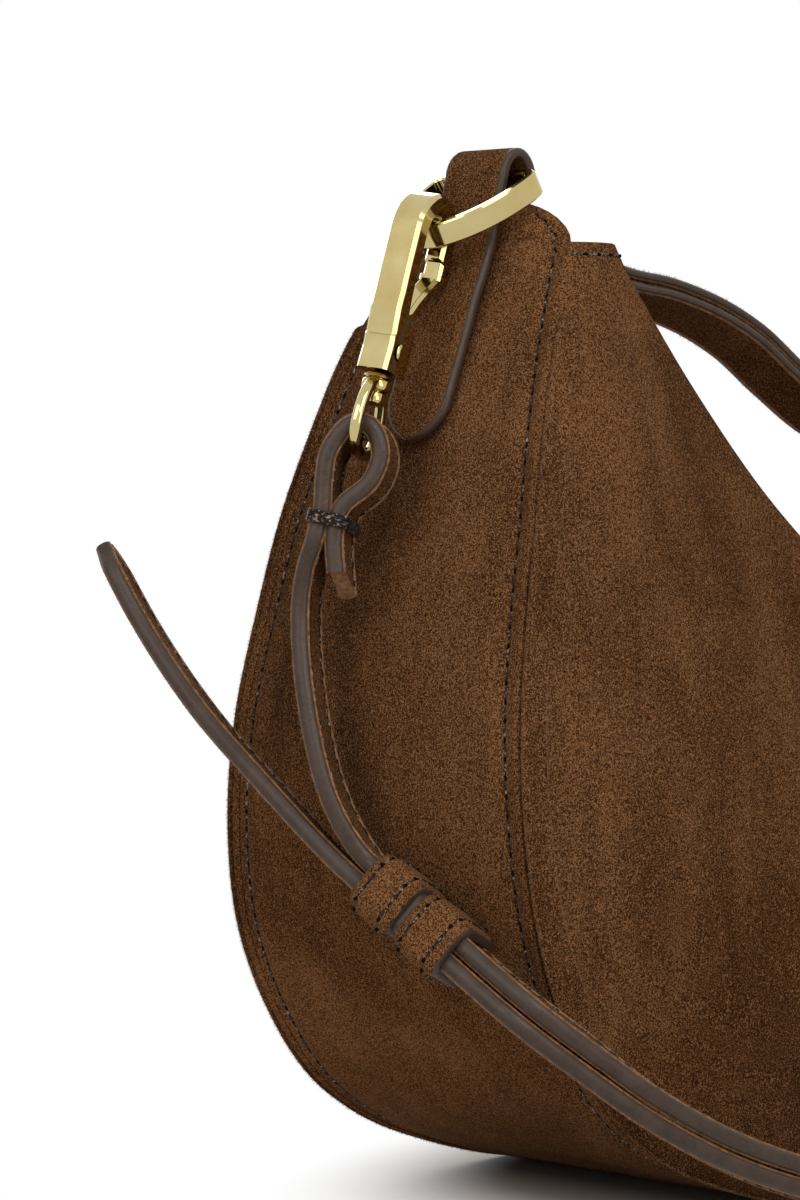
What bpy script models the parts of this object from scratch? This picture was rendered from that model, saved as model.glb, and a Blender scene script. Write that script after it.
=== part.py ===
"""A crescent shoulder bag in suede, with a long strap on two snap hooks.

Units are metres. X runs along the bag, -Y is its front, +Z is up. The origin is the
centre of the flat base, on the surface that the bag stands on.
"""

import math

import bmesh
import bpy
from mathutils import Matrix, Vector

MM = 0.001

# Clearance between pieces that lie against each other
GAP = 0.3 * MM

# Body of the bag
LENGTH = 336 * MM
END_PATCH_THICKNESS = 2 * MM
HEIGHT = 213.5 * MM
DEPTH = 95 * MM
TONGUE_RISE = 10 * MM
OPENING_DEPTH = 62 * MM
PANEL_THICKNESS = 2.2 * MM
PANEL_CROWN = 9 * MM
GUSSET_THICKNESS = 2 * MM
GUSSET_CROWN = 6 * MM
WELT_WIDTH = 8.4 * MM
WELT_THICKNESS = 1.6 * MM
LINING_THICKNESS = 0.8 * MM
LINING_INSET = 8 * MM
LINING_TOP_INSET = 12 * MM

# Zip and the facings that carry it
FACING_THICKNESS = 1.6 * MM
FACING_DROP = 3 * MM
FACING_SAG = 2 * MM
TAPE_THICKNESS = 0.8 * MM
TAPE_SEAM = 3 * MM
TAPE_SHOWING = 4.5 * MM
CHAIN_WIDTH = 2.4 * MM
CHAIN_HEIGHT = 2.2 * MM
CHAIN_END_GAP = 2.4 * MM
ZIP_OPEN_GAP = 26 * MM
SLIDER_LENGTH = 11 * MM
SLIDER_WIDTH = 8.4 * MM
SLIDER_PLATE = 1 * MM
SLIDER_SPACE = 3.2 * MM
SLIDER_POST = 1.2 * MM
SLIDER_EAR = 1.2 * MM
PULL_LENGTH = 20 * MM
PULL_THICKNESS = 1.2 * MM

# Tab and ring at each end
TAB_WIDTH = 19 * MM
TAB_THICKNESS = 2.2 * MM
TAB_LENGTH = 48 * MM
TAB_INNER_LENGTH = 18 * MM
TAB_INNER_WIDTH = 13 * MM
TAB_TIP = 9 * MM
TAB_SLACK = 2.2 * MM
RING_WIDTH = 33 * MM
RING_LENGTH = 26 * MM
RING_BAR = 5.4 * MM
RING_METAL = 2.2 * MM
RING_CORNER = 3 * MM
RING_SLOPE = math.radians(31)

# Snap hook
HOOK_BAR = 4.8 * MM
HOOK_DEPTH = 7.8 * MM
HOOK_CROWN = 4.8 * MM
HOOK_SHANK = 22.4 * MM
HOOK_NOSE = 5 * MM
HOOK_BLOCK = 9 * MM
HOOK_LEAN_OUT = math.radians(14)
HOOK_LEAN_BACK = math.radians(7)
HOOK_TURN = math.radians(15)
HOOK_SEAT = math.radians(3)
GATE_THICKNESS = 3.2 * MM
GATE_DEPTH = 4.8 * MM
GATE_TONGUE = 3 * MM
RIVET_RADIUS = 1.1 * MM
RIVET_HEAD = 2 * MM
RIVET_HEAD_HEIGHT = 0.6 * MM
STUD_COLLAR = 3.3 * MM
STUD_COLLAR_HEIGHT = 1 * MM
STUD_RADIUS = 1.6 * MM
STUD_HEAD_HEIGHT = 3 * MM
SHACKLE_METAL = 2.5 * MM
SHACKLE_BOSS = 3.4 * MM
SHACKLE_LENGTH = 13.2 * MM

# Long strap
STRAP_WIDTH = 12 * MM
STRAP_THICKNESS = 3.5 * MM
STRAP_SPACING = 4.7 * MM
STRAP_TURN = math.radians(32)
BINDING_DROP = 18 * MM
BINDING_THICKNESS = 0.9 * MM
BINDING_HEIGHT = 3.4 * MM
KEEPER_LENGTH = 27 * MM
KEEPER_WALL = 2.2 * MM
KEEPER_CLEARANCE = 0.4 * MM

# Short handle of two straps
HANDLE_WIDTH = 16 * MM
HANDLE_THICKNESS = 1.8 * MM
HANDLE_SPACING = 3 * MM
HANDLE_DROP = 40 * MM
HANDLE_ROLL = math.radians(38)

# One overrun serves every cutter
OVERRUN = 2 * MM

# Half of the side outline, from the top corner to the middle of the base,
# as shares of half the length and of the height
OUTLINE_SHARES = [
    (0.786, 1), (0.857, 0.911), (0.914, 0.795), (0.943, 0.719), (0.974, 0.617),
    (0.998, 0.511), (1, 0.391), (0.978, 0.29), (0.924, 0.197), (0.845, 0.117),
    (0.766, 0.074), (0.629, 0.031), (0.446, 0), (0.3, 0), (0.15, 0), (0, 0),
]

# Half of the top edge, from the corner to the middle, in the same shares
RIM_SHARES = [
    (0.708, 1), (0.69, 0.975), (0.66, 0.942), (0.555, 0.838), (0.42, 0.728),
    (0.25, 0.63), (0.12, 0.585), (0, 0.572),
]

# Seam-to-seam depth and outward crown of the gusset at each height share
DEPTH_SHARES = [
    (0, 1), (0.3, 1), (0.39, 0.98), (0.51, 0.935), (0.62, 0.88), (0.72, 0.83),
    (0.8, 0.762), (0.91, 0.66), (1, 0.526), (1.1, 0.45),
]
CROWN_SHARES = [
    (0, 0), (0.12, 0), (0.3, 0.3), (0.5, 0.45), (0.7, 0.3), (0.87, 0.17),
    (0.93, 0.4), (1, 1), (1.05, 0),
]

SIDE_STATIONS = 40
PANEL_ROWS = 6
GUSSET_COLUMNS = 4
SIDES = (("left", -1), ("right", 1))
TONGUE_SHARES = [0.97, 0.88, 0.7, 0.35]
WELT_START_SHARE = 0.92
ZIP_PARALLEL_SHARE = 0.35
SLIDER_STATIONS = 3
FACING_START_SHARE = 0.95

# Thickness of the keeper's wall along it, with a groove between its two lobes
KEEPER_SHARES = [
    (0, 0.75), (0.04, 1), (0.44, 1), (0.48, 0.4), (0.53, 0.4), (0.57, 1), (0.96, 1), (1, 0.75),
]

# Half of the handle, from its sewn end to the middle: share of half the length,
# share of the droop, and share of the roll that shows its underside
HANDLE_SHARES = [
    (0.776, 0.04, 0), (0.71, 0.04, 0), (0.64, 0.06, 0.3), (0.571, 0.15, 0.8), (0.482, 0.21, 1),
    (0.369, 0.34, 1), (0.304, 0.46, 1), (0.22, 0.68, 1), (0.107, 0.93, 1), (0, 1, 1),
]

# Route of the main strand, each place as shares of half the length, of half the depth and
# of the height, with its width direction
STRAP_ROUTE_SHARES = [
    ((-1.0595, 0.2147, 0.6557), (0.86, 0.5, 0)),
    ((-1.0774, 0.1474, 0.5808), (0.84, 0.54, 0)),
    ((-1.0893, 0.0211, 0.4965), (0.84, 0.54, -0.1)),
    ((-1.0863, -0.1053, 0.4262), (0.86, 0.45, -0.25)),
    ((-1.0631, -0.2421, 0.3775), (0.87, 0.34, -0.35)),
    ((-1.0607, -0.2947, 0.37), (0.87, 0.34, -0.35)),
    ((-1.0345, -0.9263, 0.2787), (0.87, 0.34, -0.35)),
    ((-1.0321, -0.9789, 0.2712), (0.87, 0.34, -0.35)),
    ((-1.0149, -1.1789, 0.2412), (0.7, 0.7, 0)),
    ((-0.9643, -1.2842, 0.2061), (0.58, 0.8, 0.1)),
    ((-0.9024, -1.3895, 0.1653), (0.45, 0.88, 0.1)),
    ((-0.8167, -1.4737, 0.1237), (0.3, 0.95, 0.1)),
    ((-0.6815, -1.5368, 0.0782), (0.15, 0.98, 0)),
    ((-0.5238, -1.5789, 0.0445), (0.05, 1, 0)),
    ((-0.3571, -1.6, 0.0337), (0, 1, 0)),
    ((0, -1.6, 0.0323), (0, 1, 0)),
    ((0.3571, -1.6, 0.0337), (0, 1, 0)),
    ((0.5238, -1.5789, 0.0445), (-0.05, 1, 0)),
    ((0.6815, -1.5368, 0.0796), (-0.15, 0.98, 0)),
    ((0.8167, -1.4737, 0.1265), (-0.3, 0.95, 0)),
    ((0.9107, -1.3895, 0.1756), (-0.45, 0.88, 0)),
    ((0.9881, -1.2, 0.2342), (-0.62, 0.78, 0)),
    ((1.0476, -0.9053, 0.3091), (-0.8, 0.6, 0)),
    ((1.0774, -0.5263, 0.4028), (-0.88, 0.47, 0)),
    ((1.0863, -0.1684, 0.5152), (-0.87, 0.5, 0)),
    ((1.0714, 0.0632, 0.6183), (-0.85, 0.53, 0)),
]

# Route of the free end in the same shares, from its tip to the keeper
TIP_ROUTE_SHARES = [
    ((-1.125, 1.3895, 0.6885), (0.8, 0.5, -0.3)),
    ((-1.1131, 1.1368, 0.6089), (0.83, 0.45, -0.32)),
    ((-1.1071, 0.7579, 0.5246), (0.86, 0.38, -0.34)),
    ((-1.1012, 0.2947, 0.4473), (0.87, 0.34, -0.35)),
]
ROUTE_STEPS = 3
LOOP_STEPS = 3
KEEPER_START = 7
RISE_START = 22

SUEDE = (0.107, 0.045, 0.016)
LINING = (0.19, 0.14, 0.09)
GOLD = (0.72, 0.52, 0.22)
THREAD = (0.02, 0.012, 0.008)
TAPE = (0.05, 0.03, 0.018)


def clear_scene():
    for item in list(bpy.data.objects):
        bpy.data.objects.remove(item, do_unlink=True)


def material(name, colour, roughness, metallic=0):
    made = bpy.data.materials.new(name)
    made.use_nodes = True
    shader = made.node_tree.nodes["Principled BSDF"]
    shader.inputs["Base Color"].default_value = (*colour, 1)
    shader.inputs["Roughness"].default_value = roughness
    shader.inputs["Metallic"].default_value = metallic
    made.diffuse_color = (*colour, 1)
    return made


def suede(name):
    return material(name, SUEDE, 0.9)


def metal(name):
    return material(name, GOLD, 0.25, 1)


def add_object(name, bm, finish, smooth=True):
    """Closes the bmesh, turns its faces outward and makes it one named object."""
    bmesh.ops.recalc_face_normals(bm, faces=bm.faces)
    mesh = bpy.data.meshes.new(name)
    bm.to_mesh(mesh)
    bm.free()
    mesh.materials.append(finish)
    if smooth:
        mesh.shade_smooth()
        mesh.set_sharp_from_angle(angle=math.radians(35))
    made = bpy.data.objects.new(name, mesh)
    bpy.context.scene.collection.objects.link(made)
    return made


def cutter(name, bm):
    made = add_object(name, bm, bpy.data.materials["Cutter"], smooth=False)
    made.hide_render = True
    made.display_type = "WIRE"
    return made


def boolean(target, operation, other):
    modifier = target.modifiers.new(operation.title(), "BOOLEAN")
    modifier.operation = operation
    modifier.object = other


# Curves and tables

def mix(first, second, share):
    return first + (second - first) * share


def table_value(table, position):
    """The value at a position of a table of (position, value), with straight runs between."""
    for (left, low), (right, high) in zip(table, table[1:]):
        if position <= right:
            return mix(low, high, max(0, (position - left) / (right - left)))
    return table[-1][1]


def smooth_curve(points, steps):
    """A curve through all the points, with the given steps in each span."""
    spans = [(second - first).length for first, second in zip(points, points[1:])]
    ways = [(b - a) / span for a, b, span in zip(points, points[1:], spans)]
    slopes = [ways[0]]
    for index in range(1, len(spans)):
        before = spans[index - 1]
        after = spans[index]
        slopes.append((ways[index - 1] * after + ways[index] * before) / (before + after))
    slopes.append(ways[-1])
    made = []
    for index, span in enumerate(spans):
        for step in range(steps):
            t = step / steps
            made.append(
                points[index] * (1 + 2 * t) * (1 - t) ** 2
                + slopes[index] * span * t * (1 - t) ** 2
                + points[index + 1] * t**2 * (3 - 2 * t)
                + slopes[index + 1] * span * t**2 * (t - 1)
            )
    return made + [points[-1].copy()]


def steady_steps(values, steps):
    """The values again, with the given straight steps from each to the next."""
    made = []
    for first, second in zip(values, values[1:]):
        made += [mix(first, second, step / steps) for step in range(steps)]
    return made + [values[-1]]


def even_points(curve, count):
    """The curve again, as count + 1 points at even distances."""
    along = [0]
    for first, second in zip(curve, curve[1:]):
        along.append(along[-1] + (second - first).length)
    made = []
    index = 0
    for step in range(count + 1):
        wanted = along[-1] * step / count
        while index < len(curve) - 2 and along[index + 1] < wanted:
            index += 1
        span = along[index + 1] - along[index]
        made.append(curve[index].lerp(curve[index + 1], (wanted - along[index]) / span))
    return made


def full_curve(shares):
    """A side outline from the left corner to the right one, from its left half's shares."""
    left = [Vector((-x * LENGTH / 2, z * HEIGHT)) for x, z in shares]
    right = [Vector((-point.x, point.y)) for point in reversed(left[:-1])]
    curve = even_points(smooth_curve(left + right, PANEL_ROWS), SIDE_STATIONS)
    return [Vector((point.x, max(0, point.y))) for point in curve]


def half_depth(height):
    return DEPTH / 2 * table_value(DEPTH_SHARES, height / HEIGHT)


def gusset_crown(height):
    return GUSSET_CROWN * table_value(CROWN_SHARES, height / HEIGHT)


OUTLINE = full_curve(OUTLINE_SHARES)
RIM = full_curve(RIM_SHARES)
LONGEST_SPAN = max((low - high).length for low, high in zip(OUTLINE, RIM))


def rim_half_depth(station):
    """Half the depth of the mouth at a station of the top edge."""
    corner = half_depth(HEIGHT)
    return mix(corner, OPENING_DEPTH / 2, math.sin(math.pi * station / SIDE_STATIONS))


def panel_point(station, share, lift, front=-1):
    """A point of a panel's outer face, raised by lift. Share 0 is the seam, 1 the top edge."""
    low = OUTLINE[station]
    high = RIM[station]
    place = low.lerp(high, share)
    depth = mix(half_depth(low.y), rim_half_depth(station), share)
    crown = PANEL_CROWN * math.sin(math.pi * share) * (high - low).length / LONGEST_SPAN
    return Vector((place.x, front * (depth + crown + lift), place.y))


# Closed solids

def sheet(name, outer, inner, finish):
    """A closed solid between two grids of points of the same size."""
    bm = bmesh.new()
    faces = [[[bm.verts.new(point) for point in row] for row in grid] for grid in (outer, inner)]
    rows = len(outer)
    columns = len(outer[0])
    for grid in faces:
        for i in range(rows - 1):
            for j in range(columns - 1):
                bm.faces.new((grid[i][j], grid[i + 1][j], grid[i + 1][j + 1], grid[i][j + 1]))
    border = [(i, 0) for i in range(rows)]
    border += [(rows - 1, j) for j in range(1, columns)]
    border += [(i, columns - 1) for i in range(rows - 2, -1, -1)]
    border += [(0, j) for j in range(columns - 2, 0, -1)]
    top, bottom = faces
    for (i, j), (k, m) in zip(border, border[1:] + border[:1]):
        bm.faces.new((top[i][j], top[k][m], bottom[k][m], bottom[i][j]))
    return add_object(name, bm, finish)


def block_section(width, thickness, bevel_share=0.2):
    """A rectangle with cut corners, as (across, through) pairs."""
    a = width / 2
    b = thickness / 2
    cut = min(a, b) * bevel_share
    return [
        (a - cut, b), (-a + cut, b), (-a, b - cut), (-a, -b + cut),
        (-a + cut, -b), (a - cut, -b), (a, -b + cut), (a, b - cut),
    ]


def plain_section(width, thickness):
    return [
        (width / 2, thickness / 2), (-width / 2, thickness / 2),
        (-width / 2, -thickness / 2), (width / 2, -thickness / 2),
    ]


def frames(points, widths, closed=False):
    """(point, width direction, through direction) at each point of a path."""
    made = []
    last = len(points) - 1
    for index, point in enumerate(points):
        if closed:
            tangent = points[(index + 1) % len(points)] - points[index - 1]
        else:
            tangent = points[min(last, index + 1)] - points[max(0, index - 1)]
        tangent.normalize()
        width = widths[index] if isinstance(widths, list) else widths
        width = (width - tangent * width.dot(tangent)).normalized()
        made.append((point, width, tangent.cross(width)))
    return made


def bar_mesh(path, sections, closed=False):
    """A swept solid. Sections is one section, or one for each frame of the path."""
    bm = bmesh.new()
    rings = []
    for index, (point, width, through) in enumerate(path):
        section = sections[index] if isinstance(sections[0], list) else sections
        rings.append([bm.verts.new(point + width * a + through * b) for a, b in section])
    count = len(rings[0])
    pairs = list(zip(rings, rings[1:]))
    if closed:
        pairs.append((rings[-1], rings[0]))
    for first, second in pairs:
        for k in range(count):
            m = (k + 1) % count
            bm.faces.new((first[k], first[m], second[m], second[k]))
    if not closed:
        bm.faces.new(rings[0])
        bm.faces.new(rings[-1])
    return bm


def sleeve_mesh(path, outers, inner):
    """A tube with an outer section for each frame of its path and one inner section."""
    bm = bmesh.new()
    shells = []
    for sections in (outers, [inner] * len(path)):
        rings = []
        for (point, width, through), section in zip(path, sections):
            rings.append([bm.verts.new(point + width * a + through * b) for a, b in section])
        shells.append(rings)
    count = len(inner)
    for k in range(count):
        m = (k + 1) % count
        for rings in shells:
            for first, second in zip(rings, rings[1:]):
                bm.faces.new((first[k], first[m], second[m], second[k]))
        for end in (0, -1):
            outer = shells[0][end]
            hole = shells[1][end]
            bm.faces.new((outer[k], outer[m], hole[m], hole[k]))
    return bm


def box_mesh(size, place):
    bm = bmesh.new()
    made = bmesh.ops.create_cube(bm, size=1)
    bmesh.ops.scale(bm, vec=size, verts=made["verts"])
    bmesh.ops.translate(bm, vec=place, verts=made["verts"])
    return bm


def turned_mesh(profile, sides=20):
    """A turned solid round local Z, from (radius, height) pairs that start and end at radius 0."""
    bm = bmesh.new()
    rings = []
    for radius, height in profile[1:-1]:
        angles = [2 * math.pi * k / sides for k in range(sides)]
        ring = [(radius * math.cos(a), radius * math.sin(a), height) for a in angles]
        rings.append([bm.verts.new(point) for point in ring])
    for first, second in zip(rings, rings[1:]):
        for k in range(sides):
            m = (k + 1) % sides
            bm.faces.new((first[k], first[m], second[m], second[k]))
    bm.faces.new(rings[0])
    bm.faces.new(rings[-1])
    return bm


# Body of the bag

def make_panel(name, front):
    shares = [row / PANEL_ROWS for row in range(PANEL_ROWS + 1)]
    stations = range(SIDE_STATIONS + 1)
    outer = [[panel_point(i, share, 0, front) for share in shares] for i in stations]
    inner = [[panel_point(i, share, -PANEL_THICKNESS, front) for share in shares] for i in stations]
    sheet(name, outer, inner, suede("Panel suede"))


def stations_below(curve, height_share):
    return [i for i, point in enumerate(curve) if point.y < HEIGHT * height_share]


def make_welt(name, front):
    """The turned edge that is sewn down over the rim of a panel, along its seam."""
    outer = []
    inner = []
    for i in stations_below(OUTLINE, WELT_START_SHARE):
        reach = WELT_WIDTH / (RIM[i] - OUTLINE[i]).length
        shares = [0, reach / 2, reach]
        outer.append([panel_point(i, share, GAP + WELT_THICKNESS, front) for share in shares])
        inner.append([panel_point(i, share, GAP, front) for share in shares])
    sheet(name, outer, inner, suede("Welt suede"))


def make_panel_lining(name, front):
    outer = []
    inner = []
    for i in stations_below(OUTLINE, WELT_START_SHARE):
        span = (RIM[i] - OUTLINE[i]).length
        start = LINING_INSET / span
        stop = 1 - LINING_TOP_INSET / span
        if stop - start < LINING_INSET / span:
            continue
        shares = [mix(start, stop, row / PANEL_ROWS * 2) for row in range(PANEL_ROWS // 2 + 1)]
        lift = -PANEL_THICKNESS - GAP
        outer.append([panel_point(i, share, lift, front) for share in shares])
        inner.append([panel_point(i, share, lift - LINING_THICKNESS, front) for share in shares])
    sheet(name, outer, inner, material("Lining", LINING, 0.8))


def outward(curve, index):
    """The outward direction of the outline at a point, in the X-Z plane."""
    along = curve[min(len(curve) - 1, index + 1)] - curve[max(0, index - 1)]
    along.normalize()
    return Vector((along.y, -along.x))


def gusset_row(place, normal, half_width, depth):
    """Points across the gusset at one station, depth below its outer face."""
    row = []
    for j in range(GUSSET_COLUMNS + 1):
        q = 2 * j / GUSSET_COLUMNS - 1
        push = gusset_crown(place.y) * (1 - q * q) - depth
        row.append(Vector((place.x + normal.x * push, half_width * q, place.y + normal.y * push)))
    return row


def gusset_half_width(height):
    return half_depth(height) - PANEL_THICKNESS - GAP


def make_gusset():
    """One strip from tongue to tongue, under the bag, with its ends rounded off."""
    curve = gusset_curve()
    outer = []
    inner = []
    for index, place in enumerate(curve):
        share = max(0, (place.y - HEIGHT) / TONGUE_RISE)
        half_width = gusset_half_width(min(place.y, HEIGHT)) * math.sqrt(1 - share**2)
        normal = outward(curve, index)
        outer.append(gusset_row(place, normal, half_width, 0))
        inner.append(gusset_row(place, normal, half_width, GUSSET_THICKNESS))
    sheet("gusset", outer, inner, suede("Gusset suede"))


def make_gusset_lining():
    outer = []
    inner = []
    start = GUSSET_THICKNESS + GAP
    for i in stations_below(OUTLINE, WELT_START_SHARE):
        half_width = gusset_half_width(OUTLINE[i].y) - GAP
        normal = outward(OUTLINE, i)
        outer.append(gusset_row(OUTLINE[i], normal, half_width, start))
        inner.append(gusset_row(OUTLINE[i], normal, half_width, start + LINING_THICKNESS))
    sheet("lining_gusset", outer, inner, material("Lining", LINING, 0.8))


def make_body():
    for name, front in (("front", -1), ("back", 1)):
        make_panel(f"{name}_panel", front)
        make_welt(f"{name}_welt", front)
        make_panel_lining(f"lining_{name}", front)
    make_gusset()
    make_gusset_lining()


# Zip across the mouth, drawn open

def facing_stations():
    return stations_below(RIM, FACING_START_SHARE)


def zip_half_gap(station, stations):
    """Half the distance between the facings' free edges, parallel near each end."""
    along = (station - stations[0]) / (stations[-1] - stations[0])
    opening = max(0, math.sin(math.pi * along) - ZIP_PARALLEL_SHARE)
    closed = CHAIN_END_GAP / 2 + CHAIN_WIDTH + GAP + TAPE_SHOWING
    return closed + ZIP_OPEN_GAP / 2 * opening


def zip_height(station):
    """The underside of the facing's free edge."""
    return RIM[station].y - FACING_DROP - FACING_SAG - FACING_THICKNESS


def flat_strip(name, stations, edges, thickness, finish):
    """A strip that follows the top edge. Edges gives the points across it at each station."""
    outer = []
    inner = []
    for i in stations:
        row = edges(i)
        outer.append(row)
        inner.append([point - Vector((0, 0, thickness)) for point in row])
    sheet(name, outer, inner, finish)


def make_facing(name, front):
    stations = facing_stations()

    def edges(i):
        share = 1 - FACING_DROP / (RIM[i] - OUTLINE[i]).length
        seat = panel_point(i, share, -PANEL_THICKNESS - GAP, front)
        free = Vector((RIM[i].x, front * zip_half_gap(i, stations), zip_height(i) + FACING_THICKNESS))
        return [seat, seat.lerp(free, 0.5) - Vector((0, 0, FACING_SAG / 4)), free]

    flat_strip(name, stations, edges, FACING_THICKNESS, suede("Facing suede"))


def make_tape(name, front):
    stations = facing_stations()

    def edges(i):
        free = zip_half_gap(i, stations)
        depths = (free + TAPE_SEAM, free - TAPE_SHOWING)
        return [Vector((RIM[i].x, front * depth, zip_height(i) - GAP)) for depth in depths]

    flat_strip(name, stations, edges, TAPE_THICKNESS, material("Zip tape", TAPE, 0.9))


def chain_depth(station, stations):
    """The middle of one row of teeth, from the middle of the bag."""
    return zip_half_gap(station, stations) - TAPE_SHOWING - GAP - CHAIN_WIDTH / 2


def chain_point(station, stations, front):
    height = zip_height(station) - GAP - TAPE_THICKNESS / 2
    return Vector((RIM[station].x, front * chain_depth(station, stations), height))


def make_chain(name, front):
    stations = facing_stations()
    points = [chain_point(i, stations, front) for i in stations]
    path = frames(points, Vector((0, 1, 0)))
    bm = bar_mesh(path, plain_section(CHAIN_WIDTH, CHAIN_HEIGHT))
    add_object(name, bm, metal("Zip metal"))


def slider_matrix():
    """Places the slider: local X runs down the zip, local Z points up from it."""
    stations = facing_stations()
    first = chain_point(stations[-SLIDER_STATIONS - 1], stations, 0)
    second = chain_point(stations[-SLIDER_STATIONS], stations, 0)
    along = (second - first).normalized()
    across = Vector((0, 1, 0))
    turn = Matrix((along, across, along.cross(across))).transposed().to_4x4()
    return Matrix.Translation((first + second) / 2) @ turn


def make_slider():
    height = SLIDER_SPACE / 2 + SLIDER_PLATE / 2
    plate = (SLIDER_LENGTH, SLIDER_WIDTH, SLIDER_PLATE)
    ear_height = PULL_THICKNESS * 2
    ear = (ear_height, SLIDER_EAR, ear_height + SLIDER_PLATE / 2)
    ear_place = SLIDER_SPACE / 2 + SLIDER_PLATE + ear_height / 2 - SLIDER_PLATE / 4
    slider = add_object("zip_slider", box_mesh(plate, (0, 0, height)), metal("Slider metal"))
    post = (SLIDER_LENGTH / 4, SLIDER_POST, SLIDER_SPACE + SLIDER_PLATE)
    parts = [
        ("Lower plate", box_mesh(plate, (0, 0, -height))),
        ("Post", box_mesh(post, (SLIDER_LENGTH * 3 / 8, 0, 0))),
    ]
    for side in (-1, 1):
        place = (0, side * (SLIDER_WIDTH - SLIDER_EAR) / 2, ear_place)
        parts.append((f"Ear {side}", box_mesh(ear, place)))
    slider.matrix_world = slider_matrix()
    for name, bm in parts:
        piece = cutter(name, bm)
        piece.matrix_world = slider_matrix()
        boolean(slider, "UNION", piece)


def make_pull():
    """A flat tongue between the slider's ears, turning about its own round end."""
    radius = PULL_THICKNESS / 2 + GAP
    width = SLIDER_WIDTH - 2 * SLIDER_EAR - 2 * GAP
    height = SLIDER_SPACE / 2 + SLIDER_PLATE + radius + GAP
    points = [Vector((-x * PULL_LENGTH, 0, height)) for x in (0, 0.05, 0.3, 0.8, 0.95, 1)]
    widths = [width * share for share in (1, 1, 0.75, 1, 0.9, 0.5)]
    sections = [block_section(w, PULL_THICKNESS, 0.3) for w in widths]
    bm = bar_mesh(frames(points, Vector((0, 1, 0))), sections)
    pull = add_object("zip_pull", bm, metal("Pull metal"))
    pull.matrix_world = slider_matrix()


def panel_seat(x, height):
    """How far from the middle the panels' inner faces stand near a place at a top corner."""
    places = [
        panel_point(i, step / SIDE_STATIONS, -PANEL_THICKNESS - 2 * GAP, 1)
        for i in range(4)
        for step in range(SIDE_STATIONS)
    ]
    return min(places, key=lambda place: math.hypot(place.x - x, place.z - height)).y


def make_end_patch(name, side):
    """The suede patch that closes the zip's end, between the panels' top corners."""
    middle = (OUTLINE[0].x + RIM[0].x) / 2
    drop = HANDLE_SHARES[0][1] * HANDLE_DROP + HANDLE_SPACING + HANDLE_THICKNESS / 2
    height = HEIGHT - drop - GAP - END_PATCH_THICKNESS / 2
    length = (RIM[0].x - OUTLINE[0].x) * 0.8
    seats = [panel_seat(middle + length * share, height) for share in (-0.5, 0, 0.5)]
    size = (length, 2 * min(seats), END_PATCH_THICKNESS)
    place = (-middle * side, 0, height)
    add_object(name, box_mesh(size, place), suede("Patch suede"), smooth=False)


def make_zip():
    for name, front in (("front", -1), ("back", 1)):
        make_facing(f"facing_{name}", front)
        make_tape(f"zip_tape_{name}", front)
        make_chain(f"zip_teeth_{name}", front)
    make_slider()
    make_pull()
    for name, side in SIDES:
        make_end_patch(f"end_patch_{name}", side)


# Tab and ring at each end. Side is -1 at the photographed end and 1 at the other.

def gusset_curve():
    """The gusset's centre line from tongue to tongue, through the side outline."""
    corner = OUTLINE[0]
    tip = Vector((corner.x - TONGUE_RISE / 8, corner.y + TONGUE_RISE))
    left = [corner.lerp(tip, share) for share in TONGUE_SHARES]
    right = [Vector((-point.x, point.y)) for point in reversed(left)]
    return left + OUTLINE + right


def gusset_line(depth, column=GUSSET_COLUMNS // 2):
    """A line down the gusset at the photographed end, depth below its outer face.

    It lies in the middle plane, with the crown that the gusset has at the given column.
    """
    curve = gusset_curve()
    made = []
    for index in range(len(curve) // 3):
        row = gusset_row(curve[index], outward(curve, index), 0, depth)
        made.append(row[column])
    return made


def at_height(line, height):
    """The point at a height on a line that runs downward."""
    for first, second in zip(line, line[1:]):
        if second.z <= height:
            return first.lerp(second, (first.z - height) / (first.z - second.z))
    return line[-1]


def to_side(points, side):
    return [Vector((-side * point.x, point.y, point.z)) for point in points]


RING_REACH = math.hypot(RING_METAL, RING_BAR) / 2


def ring_bar_place():
    """The middle of the ring's straight bar at the photographed end, in the tab's loop."""
    tip = gusset_curve()[0]
    height = HEIGHT + TONGUE_RISE + RING_REACH + 3 * GAP
    return Vector((tip.x + RING_METAL / 4, 0, height))


def make_tab(name, side):
    """One strip of suede: up the outside, round the ring's bar and down inside the tongue."""
    centre = ring_bar_place()
    radius = RING_REACH + GAP + TAB_THICKNESS / 2
    outside = gusset_line(-4 * GAP - TAB_THICKNESS / 2)
    inside = gusset_line(GUSSET_THICKNESS + 3 * GAP + TAB_THICKNESS / 2, column=1)
    top = HEIGHT + TONGUE_RISE / 2
    bottom = top - TAB_LENGTH
    lowest = top - TAB_INNER_LENGTH
    points = [at_height(outside, bottom + TAB_TIP * share) for share in (0, 0.35, 1)]
    points += [point for point in reversed(outside) if bottom + TAB_TIP < point.z]
    for angle in (15, 52, 90, 128, 165, 200):
        turn = math.radians(angle)
        rise = radius * math.sin(turn) + TAB_SLACK * max(0, math.sin(turn))
        points.append(centre + Vector((-math.cos(turn) * radius, 0, rise)))
    inner = [point for point in inside if lowest < point.z] + [at_height(inside, lowest)]
    widths = [TAB_WIDTH * share for share in (0.35, 0.85, 1)] + [TAB_WIDTH] * (len(points) - 3)
    widths += [TAB_INNER_WIDTH] * len(inner)
    points += inner
    sections = [block_section(width, TAB_THICKNESS) for width in widths]
    path = frames(to_side(points, side), Vector((0, 1, 0)))
    add_object(name, bar_mesh(path, sections), suede("Tab suede"))


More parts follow.
